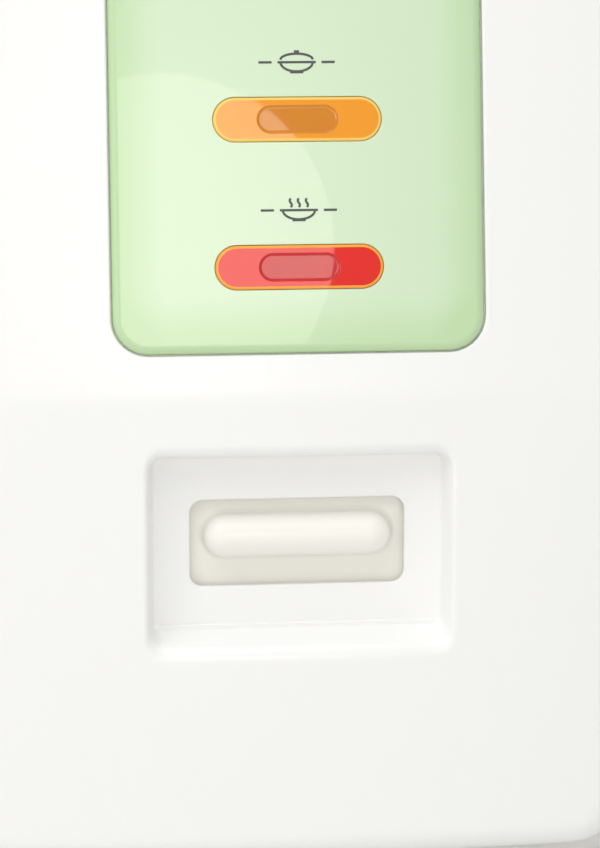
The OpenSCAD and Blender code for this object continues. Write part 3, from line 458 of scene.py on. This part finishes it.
def rounded_outline(width, height, radius, middle=(0.0, 0.0), steps=7, straight=14):
    """Points and outward normals round a rectangle with round corners, anticlockwise."""
    made = []
    half_w, half_h = width / 2 - radius, height / 2 - radius
    corners = [(half_w, half_h, 0), (-half_w, half_h, 90), (-half_w, -half_h, 180), (half_w, -half_h, 270)]
    for k, (cx, cy, start) in enumerate(corners):
        for i in range(steps + 1):
            a = math.radians(start + 90 * i / steps)
            made.append((cx + radius * math.cos(a), cy + radius * math.sin(a), math.cos(a), math.sin(a)))
        nx, ny, _ = corners[(k + 1) % 4]
        a = math.radians(start + 90)
        for i in range(1, straight):
            t = i / straight
            made.append((cx + (nx - cx) * t + radius * math.cos(a), cy + (ny - cy) * t + radius * math.sin(a),
                         math.cos(a), math.sin(a)))
    return [(x + middle[0], y + middle[1], p, q) for x, y, p, q in made]


def inset_by(outline, amount):
    """The outline moved inwards; amount is in mm, or a function of the outward normal."""
    take = amount if callable(amount) else (lambda p, q: amount)
    return [(x - p * take(p, q), y - q * take(p, q), p, q) for x, y, p, q in outline]


def moulded_abs(name, colour, grain_mm=0.35, depth=0.06, roughness=0.32):
    """Injection-moulded ABS from a spark-eroded tool: a fine dull grain under an even satin gloss."""
    made, tree = new_material(name)
    place = add(tree, "ShaderNodeTexCoord").outputs["Object"]
    grain = add(tree, "ShaderNodeTexNoise", {"Vector": place, "Scale": 1 / (grain_mm * MM), "Detail": 2.0})
    flow = add(tree, "ShaderNodeTexNoise", {"Vector": place, "Scale": 1 / (28 * MM), "Detail": 1.0})
    gloss = add(tree, "ShaderNodeMapRange", {"Value": flow.outputs["Fac"], "From Min": 0.3, "From Max": 0.7,
                                             "To Min": roughness - 0.03, "To Max": roughness + 0.05})
    shade = linear(colour)
    darker = [c * 0.985 for c in shade[:3]] + [1.0]
    tint = add(tree, "ShaderNodeMix", {"Factor": flow.outputs["Fac"]}, data_type="RGBA")
    tint.inputs["A"].default_value, tint.inputs["B"].default_value = shade, darker
    bump = add(tree, "ShaderNodeBump", {"Height": grain.outputs["Fac"], "Strength": depth,
                                        "Distance": 0.1 * MM})
    body = add(tree, "ShaderNodeBsdfPrincipled", {"Base Color": tint.outputs["Result"],
                                                  "Roughness": gloss.outputs["Result"], "IOR": 1.53,
                                                  "Normal": bump.outputs["Normal"]})
    add(tree, "ShaderNodeOutputMaterial", {"Surface": body.outputs[0]})
    return made


def by_side(top, side, bottom):
    """A function of the outward normal that blends a value from the top, side and bottom of an outline."""
    return lambda p, q: p * p * side + q * q * (top if q > 0 else bottom)


white_abs = moulded_abs("moulded_white_abs", "F6F6F5")
housing = Shell()
face_bottom = housing_bottom - crease_z
face_top = (housing_top - crease_z) / math.cos(lean)
outline = rounded_outline(housing_w, face_top - face_bottom, 9.0, (0, (face_top + face_bottom) / 2),
                          straight=30)
edge_r = by_side(2.4, 5.5, 3.5)
edge_steps = 8
rings = []
for i in range(edge_steps + 1):
    a = math.radians(90 * i / edge_steps)
    loop = inset_by(outline, lambda p, q: edge_r(p, q) * (1 - math.sin(a)))
    depths = [edge_r(p, q) * (1 - math.cos(a)) for _, _, p, q in outline]
    rings.append([(housing.bm.verts.new(on_face(x, y, d)), x, y) for (x, y, _, _), d in zip(loop, depths)])
held = inset_by(outline, lambda p, q: min(edge_r(p, q) + 0.9, 8.9))
rings.insert(0, housing.ring(held, lambda u, s: on_face(u, s, 0)))
for a, b in zip(rings, rings[1:]):
    housing.join(a, b)


def to_drum(u, s):
    """The point straight behind (u, s) where the housing's wall meets the drum."""
    near, far = on_face(u, s, 0), on_face(u, s, 1)
    step = far - near
    y = -math.sqrt(drum_seat_r ** 2 - u * u) * MM
    return near + step * ((y - near.y) / step.y)


back = housing.ring([(x, y, p, q) for x, y, p, q in outline], to_drum)
housing.join(rings[-1], back)

pocket_w, pocket_h, pocket_low, pocket_depth = 41.8, 25.9, 44.1, 5.0
window_w, window_h, window_r, window_z = 29.8, 12.1, 1.8, 57.3
mouth = rounded_outline(pocket_w, pocket_h, 2.0, (0, pocket_low + pocket_h / 2 - crease_z), straight=24)
lip_r = by_side(1.7, 0.75, 2.6)
lip_steps = 6
pocket_rings = [housing.ring(inset_by(mouth, lambda p, q: -lip_r(p, q) - 0.6), lambda u, s: on_face(u, s, 0))]
for i in range(lip_steps + 1):
    a = math.radians(78 * i / lip_steps)
    loop = inset_by(mouth, lambda p, q: -lip_r(p, q) * (1 - math.sin(a)))
    depths = [lip_r(p, q) * (1 - math.cos(a)) for _, _, p, q in mouth]
    pocket_rings.append([(housing.bm.verts.new(on_face(x, y, d)), x, y)
                         for (x, y, _, _), d in zip(loop, depths)])
# Each wall as (distance in from the mouth, depth); the lower one has a small step at its foot.
wall_top = [(0.45, 4.5), (0.5, 4.75), (0.55, 4.85), (0.62, 4.92), (0.8, 4.98), (1.1, 5.0)]
wall_side = [(0.72, 4.5), (0.78, 4.75), (0.83, 4.85), (0.9, 4.92), (1.1, 4.98), (1.4, 5.0)]
wall_bottom = [(1.05, 4.0), (1.2, 4.36), (1.25, 4.42), (1.8, 4.42), (1.86, 4.47), (1.9, 5.0)]
for top, side, bottom in zip(wall_top, wall_side, wall_bottom):
    move, deep = by_side(top[0], side[0], bottom[0]), by_side(top[1], side[1], bottom[1])
    loop = inset_by(mouth, move)
    flat = min(1.0, side[1] / pocket_depth)
    pocket_rings.append([(housing.bm.verts.new(on_face(x, y, deep(p, q), flat)), x, y)
                         for x, y, p, q in loop])
for a, b in zip(pocket_rings, pocket_rings[1:]):
    housing.join(b, a)

window = rounded_outline(window_w, window_h, window_r, (0, window_z - crease_z), straight=10)
window_edge_r = 0.28
window_rings = []
for a in (0, 30, 60, 90):
    a = math.radians(a)
    deep = pocket_depth + window_edge_r * (1 - math.cos(a))
    window_rings.append(housing.ring(inset_by(window, -window_edge_r * (1 - math.sin(a))),
                                     lambda u, s: on_face(u, s, deep, 1.0)))
window_rings.append(housing.ring(window, lambda u, s: on_face(u, s, pocket_depth + 1.0, 1.0)))
for a, b in zip(window_rings, window_rings[1:]):
    housing.join(b, a)
housing.fill(pocket_rings[-1], [window_rings[0]], lambda u, s: on_face(u, s, pocket_depth, 1.0))

panel_w, panel_h, panel_corner_r, panel_up = 51.0, 60.0, 4.9, 6.0
panel_seat, panel_gap = 1.0, 0.2
lens_w, lens_h, lens_gap = 22.7, 5.7, 0.2
lens_places = (panel_up + 11.65, panel_up + 31.65)
seat = rounded_outline(panel_w + 2 * panel_gap, panel_h + 2 * panel_gap, panel_corner_r + panel_gap,
                       (0, panel_up + panel_h / 2), straight=24)
seat_rings = []
for out, deep in ((0.7, 0.0), (0.22, 0.0), (0.1, 0.03), (0.03, 0.1), (0.0, 0.22), (0.0, panel_seat)):
    seat_rings.append(housing.ring(inset_by(seat, -out), lambda u, s: on_face(u, s, deep)))
for a, b in zip(seat_rings, seat_rings[1:]):
    housing.join(b, a)
lens_holes = []
for place in lens_places:
    hole = rounded_outline(lens_w + 2 * lens_gap, lens_h + 2 * lens_gap, lens_h / 2 + lens_gap - 0.001,
                           (0, place), steps=10, straight=6)
    upper = housing.ring(hole, lambda u, s: on_face(u, s, panel_seat))
    lower = housing.ring(hole, lambda u, s: on_face(u, s, panel_seat + 1.0))
    housing.join(lower, upper)
    lens_holes.append(upper)
housing.fill(seat_rings[-1], lens_holes, lambda u, s: on_face(u, s, panel_seat), pitch=4.0)
crease_rows = [crease_r * lean / 2 * t for t in (-1.2, -0.8, -0.4, 0, 0.4, 0.8, 1.2)]
housing.fill(rings[0], [pocket_rings[0], seat_rings[0]], lambda u, s: on_face(u, s, 0), pitch=3.0,
             rows=crease_rows)
housing = housing.piece("housing_shell", [white_abs])
wall = housing.modifiers.new("wall", "SOLIDIFY")
wall.thickness, wall.offset, wall.use_rim = shell_t * MM, -1.0, True
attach(housing, "housing")
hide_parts("control_housing")

# ---- Panel, lenses and marks ----------------------------------------------------------------------
# A glossy pale green panel, moulded in acrylic with a domed edge, is pressed into a seat in the housing.
# A clear red and an amber lens come up through it from behind, and a printed mark stands over each.
panel_proud, panel_edge_r = 0.5, 1.25
panel_back = 0.98


def panel_acrylic():
    """Acrylic tinted through, with a polished face and a faint random cloud in its tone; painted shade turns
    the green darker within 8 mm of the sides and 9 mm of the bottom.
    """
    made, tree = new_material("pale_green_acrylic")
    place = add(tree, "ShaderNodeTexCoord").outputs["Object"]
    axis = add(tree, "ShaderNodeSeparateXYZ", {0: place})
    half_w = panel_w / 2 * MM
    # Painted shade: a mask that rises towards the sides and the bottom of the panel and mixes the green
    # towards the darker tone.
    side = add(tree, "ShaderNodeMath", {0: axis.outputs["X"]}, operation="ABSOLUTE")
    side = add(tree, "ShaderNodeMapRange", {"Value": side.outputs[0], "From Min": half_w - 8 * MM,
                                            "From Max": half_w}, interpolation_type="SMOOTHSTEP")
    low_z = on_face(0, panel_up, 0).z
    low = add(tree, "ShaderNodeMapRange", {"Value": axis.outputs["Z"], "From Min": low_z + 9 * MM,
                                           "From Max": low_z}, interpolation_type="SMOOTHSTEP")
    edge = add(tree, "ShaderNodeMath", {0: side.outputs[0], 1: low.outputs[0]}, operation="ADD",
               use_clamp=True)
    cloud = add(tree, "ShaderNodeTexNoise", {"Vector": place, "Scale": 1 / (14 * MM), "Detail": 1.0})
    deep = add(tree, "ShaderNodeMath", {0: edge.outputs[0], 1: 0.62, 2: 0.12}, operation="MULTIPLY_ADD")
    deep = add(tree, "ShaderNodeMath", {0: cloud.outputs["Fac"], 1: 0.08, 2: deep.outputs[0]},
               operation="MULTIPLY_ADD", use_clamp=True)
    tone = add(tree, "ShaderNodeMix", {"Factor": deep.outputs[0]}, data_type="RGBA")
    tone.inputs[6].default_value, tone.inputs[7].default_value = linear("D6EACD"), linear("BBD9A3")
    body = add(tree, "ShaderNodeBsdfPrincipled", {"Base Color": tone.outputs[2], "Roughness": 0.3,
                                                  "IOR": 1.49, "Coat Weight": 0.2, "Coat Roughness": 0.01,
                                                  "Coat IOR": 1.49})
    add(tree, "ShaderNodeOutputMaterial", {"Surface": body.outputs[0]})
    return made


green_acrylic = panel_acrylic()
panel = Shell()
plate_outline = rounded_outline(panel_w, panel_h, panel_corner_r, (0, panel_up + panel_h / 2), steps=10,
                                straight=24)
levels = [(0.15, panel_back), (0.0, panel_back - 0.15)]
for i in range(9):
    a = math.radians(90 * i / 8)
    levels.append((panel_edge_r * (1 - math.cos(a)), panel_edge_r - panel_proud - panel_edge_r * math.sin(a)))
rings = []
for move, deep in levels:
    rings.append(panel.ring(inset_by(plate_outline, move), lambda u, s: on_face(u, s, deep)))
for a, b in zip(rings, rings[1:]):
    panel.join(a, b)
fronts, backs = [], []
for place in lens_places:
    hole = rounded_outline(lens_w + 2 * lens_gap, lens_h + 2 * lens_gap, lens_h / 2 + lens_gap - 0.001,
                           (0, place), steps=12, straight=6)
    down = []
    for out, deep in ((0.12, -panel_proud), (0.04, 0.04 - panel_proud), (0.0, 0.14 - panel_proud),
                      (0.0, panel_back)):
        down.append(panel.ring(inset_by(hole, -out), lambda u, s: on_face(u, s, deep)))
    for a, b in zip(down, down[1:]):
        panel.join(a, b)
    fronts.append(down[0])
    backs.append(down[-1])
panel.fill(rings[-1], fronts, lambda u, s: on_face(u, s, -panel_proud), pitch=2.5, normal=face_normal)
panel.fill(rings[0], backs, lambda u, s: on_face(u, s, panel_back), pitch=6.0)
panel = panel.piece("green_panel", [green_acrylic])
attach(panel, "housing")
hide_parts("control_panel")

# The mirrored lamp: it stands where the camera's ray to one point of the panel bounces to.
mirror_u, mirror_s, mirror_far = -18.4, 20.8, 0.6
mirror_at = on_face(mirror_u, mirror_s, -panel_proud)
facing = face_normal(mirror_u, mirror_s)
seen_from = (mirror_at - camera.location).normalized()
bounce = seen_from - 2 * seen_from.dot(facing) * facing
area_lamp("panel_reflection", mirror_at + bounce * mirror_far, mirror_at, (0.246, 0.106), 0.46,
          "ELLIPSE").data.color = (1.0, 0.95, 0.86)


def lens_plastic(name, light, dark, glow=0.0):
    """Clear dyed polycarbonate: the dye's tone drifts at random, and the moulded face is polished."""
    made, tree = new_material(name)
    place = add(tree, "ShaderNodeTexCoord").outputs["Object"]
    cloud = add(tree, "ShaderNodeTexNoise", {"Vector": place, "Scale": 1 / (5 * MM), "Detail": 1.0})
    tone = add(tree, "ShaderNodeMix", {"Factor": cloud.outputs["Fac"]}, data_type="RGBA")
    tone.inputs[6].default_value, tone.inputs[7].default_value = linear(light), linear(dark)
    # glow is a painted glow: an emission in the lens's own colour.
    body = add(tree, "ShaderNodeBsdfPrincipled", {"Base Color": tone.outputs[2], "Roughness": 0.4,
                                                  "IOR": 1.45, "Specular IOR Level": 0.1,
                                                  "Coat Weight": 0.5, "Coat Roughness": 0.02,
                                                  "Emission Color": tone.outputs[2],
                                                  "Emission Strength": glow})
    add(tree, "ShaderNodeOutputMaterial", {"Surface": body.outputs[0]})
    return made


def lens(name, node, place, face, rim, core):
    """A stadium-shaped lens whose rounded rim is painted lighter and glows as a painted highlight, and a
    dished window over its lamp.
    """
    grown, flange_w, dish_w, dish_h = 0.15, 2.0, 11.2, 3.9

    def stadium(width, height):
        return rounded_outline(width, height, height / 2 - 0.001, (0, place), steps=12, straight=8)

    shell = Shell()
    outer = stadium(lens_w + 2 * grown, lens_h + 2 * grown)
    flange = stadium(lens_w + 2 * flange_w, lens_h + 2 * flange_w)
    inner = stadium(dish_w, dish_h)
    rings, slots = [], []
    steps = [(flange, 0, 3.3, 0), (flange, 0, 2.3, 0), (outer, 0, 2.3, 0), (outer, 0, -0.2, 0),
             (outer, 0.03, -0.36, 1), (outer, 0.12, -0.5, 1), (outer, 0.26, -0.58, 1), (outer, 0.4, -0.6, 1)]
    for loop, move, deep, part in steps:
        rings.append(shell.ring(inset_by(loop, move), lambda u, s: on_face(u, s, deep)))
        slots.append(part)
    for a, b, part in zip(rings, rings[1:], slots[1:]):
        shell.join(a, b, part)
    dish = []
    for move, deep in ((0, -0.6), (0.06, -0.59), (0.16, -0.55), (0.28, -0.51), (0.45, -0.5)):
        dish.append(shell.ring(inset_by(inner, move), lambda u, s: on_face(u, s, deep)))
    for a, b in zip(dish, dish[1:]):
        shell.join(a, b, 2)
    shell.fill(rings[-1], [dish[0]], lambda u, s: on_face(u, s, -0.6), normal=face_normal)
    shell.fill(dish[-1], [], lambda u, s: on_face(u, s, -0.5), slot=2, normal=face_normal)
    shell.fill(rings[0], [], lambda u, s: on_face(u, s, 3.3))
    made = shell.piece(name, [face, rim, core])
    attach(made, "housing")
    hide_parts(node)


# Painted highlight and glow: each rim is a lighter orange or yellow with a faint emission, and the amber face
# has a fainter one.
lens("red_lens", "cook_lens", lens_places[0],
     lens_plastic("red_lens_face", "E62E22", "E02A26", 0.0),
     lens_plastic("red_lens_rim_painted_highlight", "F8B04A", "F49A3C", 0.08),
     lens_plastic("red_lens_dish", "CE3030", "C42A30"))
lens("amber_lens", "warm_lens", lens_places[1],
     lens_plastic("amber_lens_face", "F2A02C", "EC9426", 0.03),
     lens_plastic("amber_lens_rim_painted_highlight", "FAD070", "F6C45E", 0.08),
     lens_plastic("amber_lens_dish", "D98A2A", "D08024"))


def stroke(shell, path, width, place):
    """A printed line of ink along a path: a flat strip with square ends, closed all round."""
    ink = (-panel_proud - 0.002, -panel_proud - 0.03)
    rows = []
    for i, (x, y) in enumerate(path):
        ahead, behind = path[min(i + 1, len(path) - 1)], path[max(i - 1, 0)]
        way = Vector((ahead[0] - behind[0], ahead[1] - behind[1])).normalized() * width / 2
        corners = [(x - way.y, y + way.x, ink[0]), (x + way.y, y - way.x, ink[0]),
                   (x + way.y, y - way.x, ink[1]), (x - way.y, y + way.x, ink[1])]
        rows.append([shell.bm.verts.new(on_face(a, place + b, d)) for a, b, d in corners])
    for a, b in zip(rows, rows[1:]):
        for k in range(4):
            shell.bm.faces.new((a[k], a[(k + 1) % 4], b[(k + 1) % 4], b[k]))
    shell.bm.faces.new(rows[0])
    shell.bm.faces.new(rows[-1][::-1])


def arc_path(x, y, r_x, r_y, start, end, steps=16):
    """Points along part of an ellipse; angles in degrees."""
    turns = [math.radians(start + (end - start) * i / steps) for i in range(steps + 1)]
    return [(x + r_x * math.cos(a), y + r_y * math.sin(a)) for a in turns]


def wave_path(x, low, high, swing, steps=12):
    """Points of one full wave that climbs from low to high."""
    return [(x + swing * math.sin(2 * math.pi * i / steps), low + (high - low) * i / steps)
            for i in range(steps + 1)]


# Pad-printed ink: a matt dark grey, a little uneven at this size.
ink = surface("dark_grey_ink", "4C4F50", "57595A", 0.55, patch=1.5, grain=0.2, bump=0.02)
mark_up, line_w = 7.8, 0.32
marks = Shell()
bowl = [arc_path(0, -0.1, 2.2, 1.25, 180, 360), [(-2.6, -0.1), (2.6, -0.1)], [(-0.9, -1.45), (0.9, -1.45)]]
cook_mark = bowl + [wave_path(x, 0.3, 1.5, 0.14) for x in (-1.1, 0, 1.1)]
warm_mark = bowl + [arc_path(0, 0.25, 2.2, 0.8, 0, 180), [(-0.35, 1.35), (0.35, 1.35)]]
for place, mark in zip(lens_places, (cook_mark, warm_mark)):
    for path in [*mark, [(-5.2, -0.1), (-3.4, -0.1)], [(3.4, -0.1), (5.2, -0.1)]]:
        stroke(marks, path, line_w, place + mark_up)
marks = marks.piece("printed_marks", [ink])
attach(marks, "housing")

# ---- Cook key -------------------------------------------------------------------------------------
# The key is moulded in a slightly creamier ABS: a half-round bar on a plate that slides behind the window.
# It is pushed onto the end of the switch lever, which runs back under the heater.
key_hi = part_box("cook_key")[1]
cream_abs = moulded_abs("moulded_cream_abs", "F6F4EC")
key_w, key_low, key_high, key_front, key_back = 35.8, 49.75, 67.4, -135.4, -134.0
bar_l, bar_r, bar_z, nose_y = 26.0, 3.0, 58.3, -136.6
root_r = 0.9
key = Shell()


def upright(y):
    """Places a point (x, z) in mm on the upright plane at y."""
    return lambda x, z: Vector((x, y, z)) * MM


plate = rounded_outline(key_w, key_high - key_low, 1.5, (0, (key_low + key_high) / 2), straight=10)
bar = rounded_outline(bar_l, 2 * bar_r, bar_r - 0.001, (0, bar_z), steps=12, straight=20)
levels = []
for i in range(6):
    b = math.radians(90 * i / 5)
    levels.append((-root_r * (1 - math.sin(b)), key_front - root_r * (1 - math.cos(b))))
for i in range(15):
    a = math.radians(88 * i / 14)
    levels.append((bar_r * (1 - math.cos(a)), nose_y - bar_r * math.sin(a)))
rings = [key.ring(inset_by(bar, move), upright(y)) for move, y in levels]
for a, b in zip(rings, rings[1:]):
    key.join(a, b)
key.cap(rings[-1])
plate_rings = [key.ring(inset_by(plate, move), upright(y)) for move, y in
               ((0.15, key_back), (0, key_back - 0.15), (0, key_front + 0.15), (0.15, key_front))]
for a, b in zip(plate_rings, plate_rings[1:]):
    key.join(a, b)
key.fill(plate_rings[-1], [rings[0]], upright(key_front))
boss_half, boss_low, boss_high = 7.0, 53.9, 66.1
boss = rounded_outline(2 * boss_half, boss_high - boss_low, 0.8, (0, (boss_low + boss_high) / 2), straight=4)
boss_rings = [key.ring(boss, upright(key_back)), key.ring(boss, upright(key_hi.y / MM))]
key.join(boss_rings[0], boss_rings[1])
key.fill(plate_rings[0], [boss_rings[0]], upright(key_back))
key.cap(boss_rings[1])
key = key.piece("cook_key_moulding", [cream_abs])
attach(key, "cook_lever")
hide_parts("cook_key")

# ---- Lamps, switch and lever ----------------------------------------------------------------------
# Two neon lamps on a small printed board behind the lenses, a lever on a pin in a folded bracket, and a
# snap switch that the lever holds down; all screwed to the inside of the housing and the base plate.
# Phenolic paper board, brown, with a dull resin skin.
board_paper = surface("phenolic_paper_board", "9A6F3E", "8C6236", 0.5, patch=8, grain=0.5, bump=0.06)
# Thin clear glass envelopes.
lamp_glass = surface("lamp_glass", "F2F4F2", "E6E9E8", 0.05, patch=4, grain=0.5, bump=0.01,
                     **{"Transmission Weight": 0.9, "IOR": 1.5})
# Black glass-filled nylon of the switch, and its white acetal plunger.
switch_nylon = surface("switch_nylon", "2B2C2E", "333436", 0.45, patch=5, grain=0.3, bump=0.08)
acetal = surface("plunger_acetal", "EFEFEA", "E8E8E2", 0.35, patch=4, grain=0.3, bump=0.03)
dress(board_paper, "board", "lamp_board")
dress(lamp_glass, "lamp_glass", "cook_lamp", "warm_lamp")
dress(switch_nylon, "switch_plastic", "main_switch")
dress(acetal, "plunger_plastic", "switch_plunger")
dress(zinc, "zinc_steel", "board_screws", "housing_screws", "lever_bracket", "bracket_screws", "pivot_pin",
      "cook_lever", "switch_screws")

# ---- Heater and thermostat ------------------------------------------------------------------------
# A die-cast aluminium plate with a sheathed element cast into its underside stands on three posts.
# In its middle floats the spring-loaded magnetic thermostat that lets the lever go when the water is gone.
# Die-cast aluminium, turned flat on top: faint rings over a grey casting skin.
cast_aluminium = surface("cast_aluminium", "B9BABB", "ABACAE", 0.4, patch=15, grain=0.5, bump=0.15, spun=True,
                         Metallic=1.0)
# Element sheath: steel heated to a dull brown-grey.
sheath = surface("heated_sheath_steel", "7D746B", "696461", 0.48, patch=7, grain=0.5, bump=0.08, Metallic=1.0)
# Ferrite ceramic: charcoal, slightly sparkling.
ferrite = surface("ferrite", "3A3A3C", "303032", 0.55, patch=5, grain=0.2, bump=0.1, Metallic=0.3)
# Drawn spring wire, bright.
spring_wire = surface("spring_wire", "B5B6B8", "A6A7AA", 0.28, patch=3, grain=0.15, bump=0.05, Metallic=1.0)
# Woven glass sleeve over the thermal fuse.
fuse_sleeve = surface("fuse_sleeve", "E9E4D6", "DDD7C6", 0.75, patch=3, grain=0.4, bump=0.3)
# Phenolic moulding compound: black-brown, glossy, with faint flow marks.
phenolic = surface("black_phenolic", "1D1C1C", "242322", 0.22, patch=12, grain=0.6, bump=0.03,
                   **{"Coat Weight": 0.4, "Coat Roughness": 0.06})
dress(cast_aluminium, "cast_aluminium", "heater_plate")
dress(sheath, "sheath_steel", "heater_tube")
dress(zinc, "zinc_steel", "heater_posts", "heater_screws", "thermostat_body")
dress(aluminised, "aluminised_steel", "sensor_cap")
dress(ferrite, "ferrite", "sensor_ferrite", "magnet")
dress(spring_wire, "spring_steel", "sensor_spring", "magnet_spring")
dress(zinc, "zinc_steel", "magnet_cup")
dress(phenolic, "black_phenolic", "warm_thermostat")
dress(fuse_sleeve, "fuse_sleeve", "thermal_fuse")


def soften(node, width):
    """Rounds the edges of a moulded CAD node with a bevel of the given width in mm."""
    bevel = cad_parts[node].modifiers.new("soft_edges", "BEVEL")
    bevel.width, bevel.segments = width * MM, 3
    bevel.limit_method, bevel.angle_limit = "ANGLE", math.radians(35)
    bevel.use_clamp_overlap = True
    bevel.harden_normals = False


# ---- Mains inlet and handles ----------------------------------------------------------------------
# A moulded cover low on the back holds a black socket with three brass blades for a plug-in lead.
# A looped handle of the same white plastic is screwed to each side of the drum from inside.
# Rolled brass strip, drawn lengthways.
brass = surface("brass_blades", "C9A85A", "BC9A4E", 0.25, patch=5, grain=0.2, bump=0.05, stretch=(1, 0.1, 1),
                Metallic=1.0)
dress(white_pp, "white_plastic", "rear_cover", "left_handle", "right_handle")
dress(phenolic, "black_phenolic", "inlet_socket")
dress(brass, "brass_blades", "inlet_pins")
soften("left_handle", 1.6)
soften("right_handle", 1.6)
soften("rear_cover", 1.0)
soften("inlet_socket", 0.3)
dress(zinc, "zinc_steel", "rear_screws", "handle_screws")

# ---- Inner pot ------------------------------------------------------------------------------------
# A removable pot deep-drawn from aluminium sheet and spun to its flange, which rests over the top ring.
# Inside it carries a column of pressed fill lines; the outside is satin-finished.
pot_aluminium = surface("satin_aluminium", "CDCECF", "C2C3C5", 0.3, patch=40, grain=0.35, bump=0.1, spun=True,
                        Metallic=1.0)
pot_r, pot_in_r, pot_low, pot_top = 116.6, 115.0, 89.0, 208.9
pot = lathe("drawn_pot", [(0, pot_low, 0), (pot_r, pot_low, 22), (pot_r, 207.3, 0.7), (123, 207.3, 0.7),
                          (123, pot_top, 0.8), (pot_in_r, pot_top, 1.5), (pot_in_r, pot_low + 2.2, 20.4),
                          (0, pot_low + 2.2, 0)], [pot_aluminium], segments=192)
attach(pot, "pot")
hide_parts("inner_pot")

# Fill lines: seven raised ribs pressed into the wall at the back, every other one long.
line_low, line_pitch, line_half_h, line_out = 118.0, 10.0, 0.4, 0.35
lines = Shell()
for i in range(7):
    middle, half = line_low + i * line_pitch, 7.0 if i % 2 == 0 else 4.0
    sections = []
    for k in range(9):
        a = math.radians(90) + (k / 4 - 1) * half / pot_in_r
        corners = [(pot_in_r + 0.1, middle - line_half_h), (pot_in_r - line_out, middle - line_half_h / 2),
                   (pot_in_r - line_out, middle + line_half_h / 2), (pot_in_r + 0.1, middle + line_half_h)]
        sections.append([lines.bm.verts.new((r * math.cos(a) * MM, r * math.sin(a) * MM, z * MM))
                         for r, z in corners])
    for a, b in zip(sections, sections[1:]):
        for k in range(4):
            lines.bm.faces.new((a[k], a[(k + 1) % 4], b[(k + 1) % 4], b[k]))
    lines.bm.faces.new(sections[0])
    lines.bm.faces.new(sections[-1][::-1])
lines = lines.piece("fill_lines", [pot_aluminium])
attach(lines, "pot")

# ---- Lid ------------------------------------------------------------------------------------------
# A domed disc of toughened glass is crimped into a stainless rim, with a steel-lined steam hole.
# The black phenolic knob sits on a silicone washer and is held by a screw through the glass.


def lid_glass_material():
    """Toughened soda-lime glass: clear, faintly green, with very slight waves from the tempering."""
    made, tree = new_material("toughened_glass")
    place = add(tree, "ShaderNodeTexCoord").outputs["Object"]
    wave = add(tree, "ShaderNodeTexNoise", {"Vector": place, "Scale": 1 / (30 * MM), "Detail": 1.0})
    tone = add(tree, "ShaderNodeMix", {"Factor": wave.outputs["Fac"]}, data_type="RGBA")
    tone.inputs[6].default_value, tone.inputs[7].default_value = linear("F3F8F6"), linear("EAF4F0")
    relief = add(tree, "ShaderNodeBump", {"Height": wave.outputs["Fac"], "Strength": 0.05,
                                          "Distance": 1 * MM})
    body = add(tree, "ShaderNodeBsdfPrincipled", {"Base Color": tone.outputs[2], "Roughness": 0.02,
                                                  "IOR": 1.5, "Transmission Weight": 1.0,
                                                  "Normal": relief.outputs[0]})
    add(tree, "ShaderNodeOutputMaterial", {"Surface": body.outputs[0]})
    return made


glass_r, glass_t, rim_z, rise, hole_r = 119.8, 4.0, 210.25, 26.0, 3.0
dome_r = (glass_r ** 2 + rise ** 2) / (2 * rise)
dome_z = rim_z + rise - dome_r


def dome(radius, r):
    """Height of a dome of the given radius at distance r from the middle."""
    return dome_z + math.sqrt(radius ** 2 - r ** 2)


stations = [hole_r + (glass_r - hole_r) * i / 24 for i in range(25)]
profile = [(r, dome(dome_r, r), 0) for r in stations]
profile += [(r, dome(dome_r + glass_t, r), 0) for r in stations[::-1]]
lid = lathe("lid_glass_disc", profile, [lid_glass_material()], segments=192)
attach(lid, "lid")
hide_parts("lid_glass")

edge_z, lip_r = dome(dome_r + glass_t, glass_r), glass_r - 3
lip_z, sheet, low_z = dome(dome_r + glass_t, lip_r) + 0.15, 0.8, 209.05
rim = lathe("lid_rim_band", [(114 - sheet, low_z - 5, 0.2), (114, low_z - 5, 0.2), (114, low_z, 0.3),
                             (121, low_z, 0.6), (121, edge_z + sheet + 0.3, 1.2), (lip_r, lip_z + sheet, 0.3),
                             (lip_r, lip_z, 0.2), (glass_r + 0.2, edge_z + 0.15, 0.1),
                             (glass_r + 0.2, low_z + sheet, 0.1), (114 - sheet, low_z + sheet, 0.3)],
            [spun_steel], segments=192)
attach(rim, "lid")
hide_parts("lid_rim")

knob_z, knob_top, cap_z, knob_r, waist_r = 241.95, 262.95, 254.95, 19.0, 9.5
knob = lathe("phenolic_knob", [(0, knob_z, 0), (17, knob_z, 0.3), (17, knob_z + 1.5, 0.8),
                               (11, knob_z + 3.5, 1.5), (waist_r, knob_z + 5.5, 2),
                               (waist_r, cap_z - 1.5, 2), (waist_r + 1, cap_z, 0.6), (knob_r - 1, cap_z, 1.4),
                               (knob_r, cap_z + 2.2, 1.6), (knob_r - 1.6, knob_top - 2.2, 2.5),
                               (knob_r - 6, knob_top - 0.6, 8), (0, knob_top, 0)], [phenolic], segments=96)
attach(knob, "lid")
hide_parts("lid_knob")
# Silicone washer: pale grey, slightly waxy.
silicone = surface("grey_silicone", "B9BBBA", "AEB0AF", 0.5, patch=5, grain=0.3, bump=0.05)
dress(silicone, "silicone", "knob_seat")
dress(spun_steel, "stainless", "steam_vent")
dress(zinc, "zinc_steel", "knob_screw")
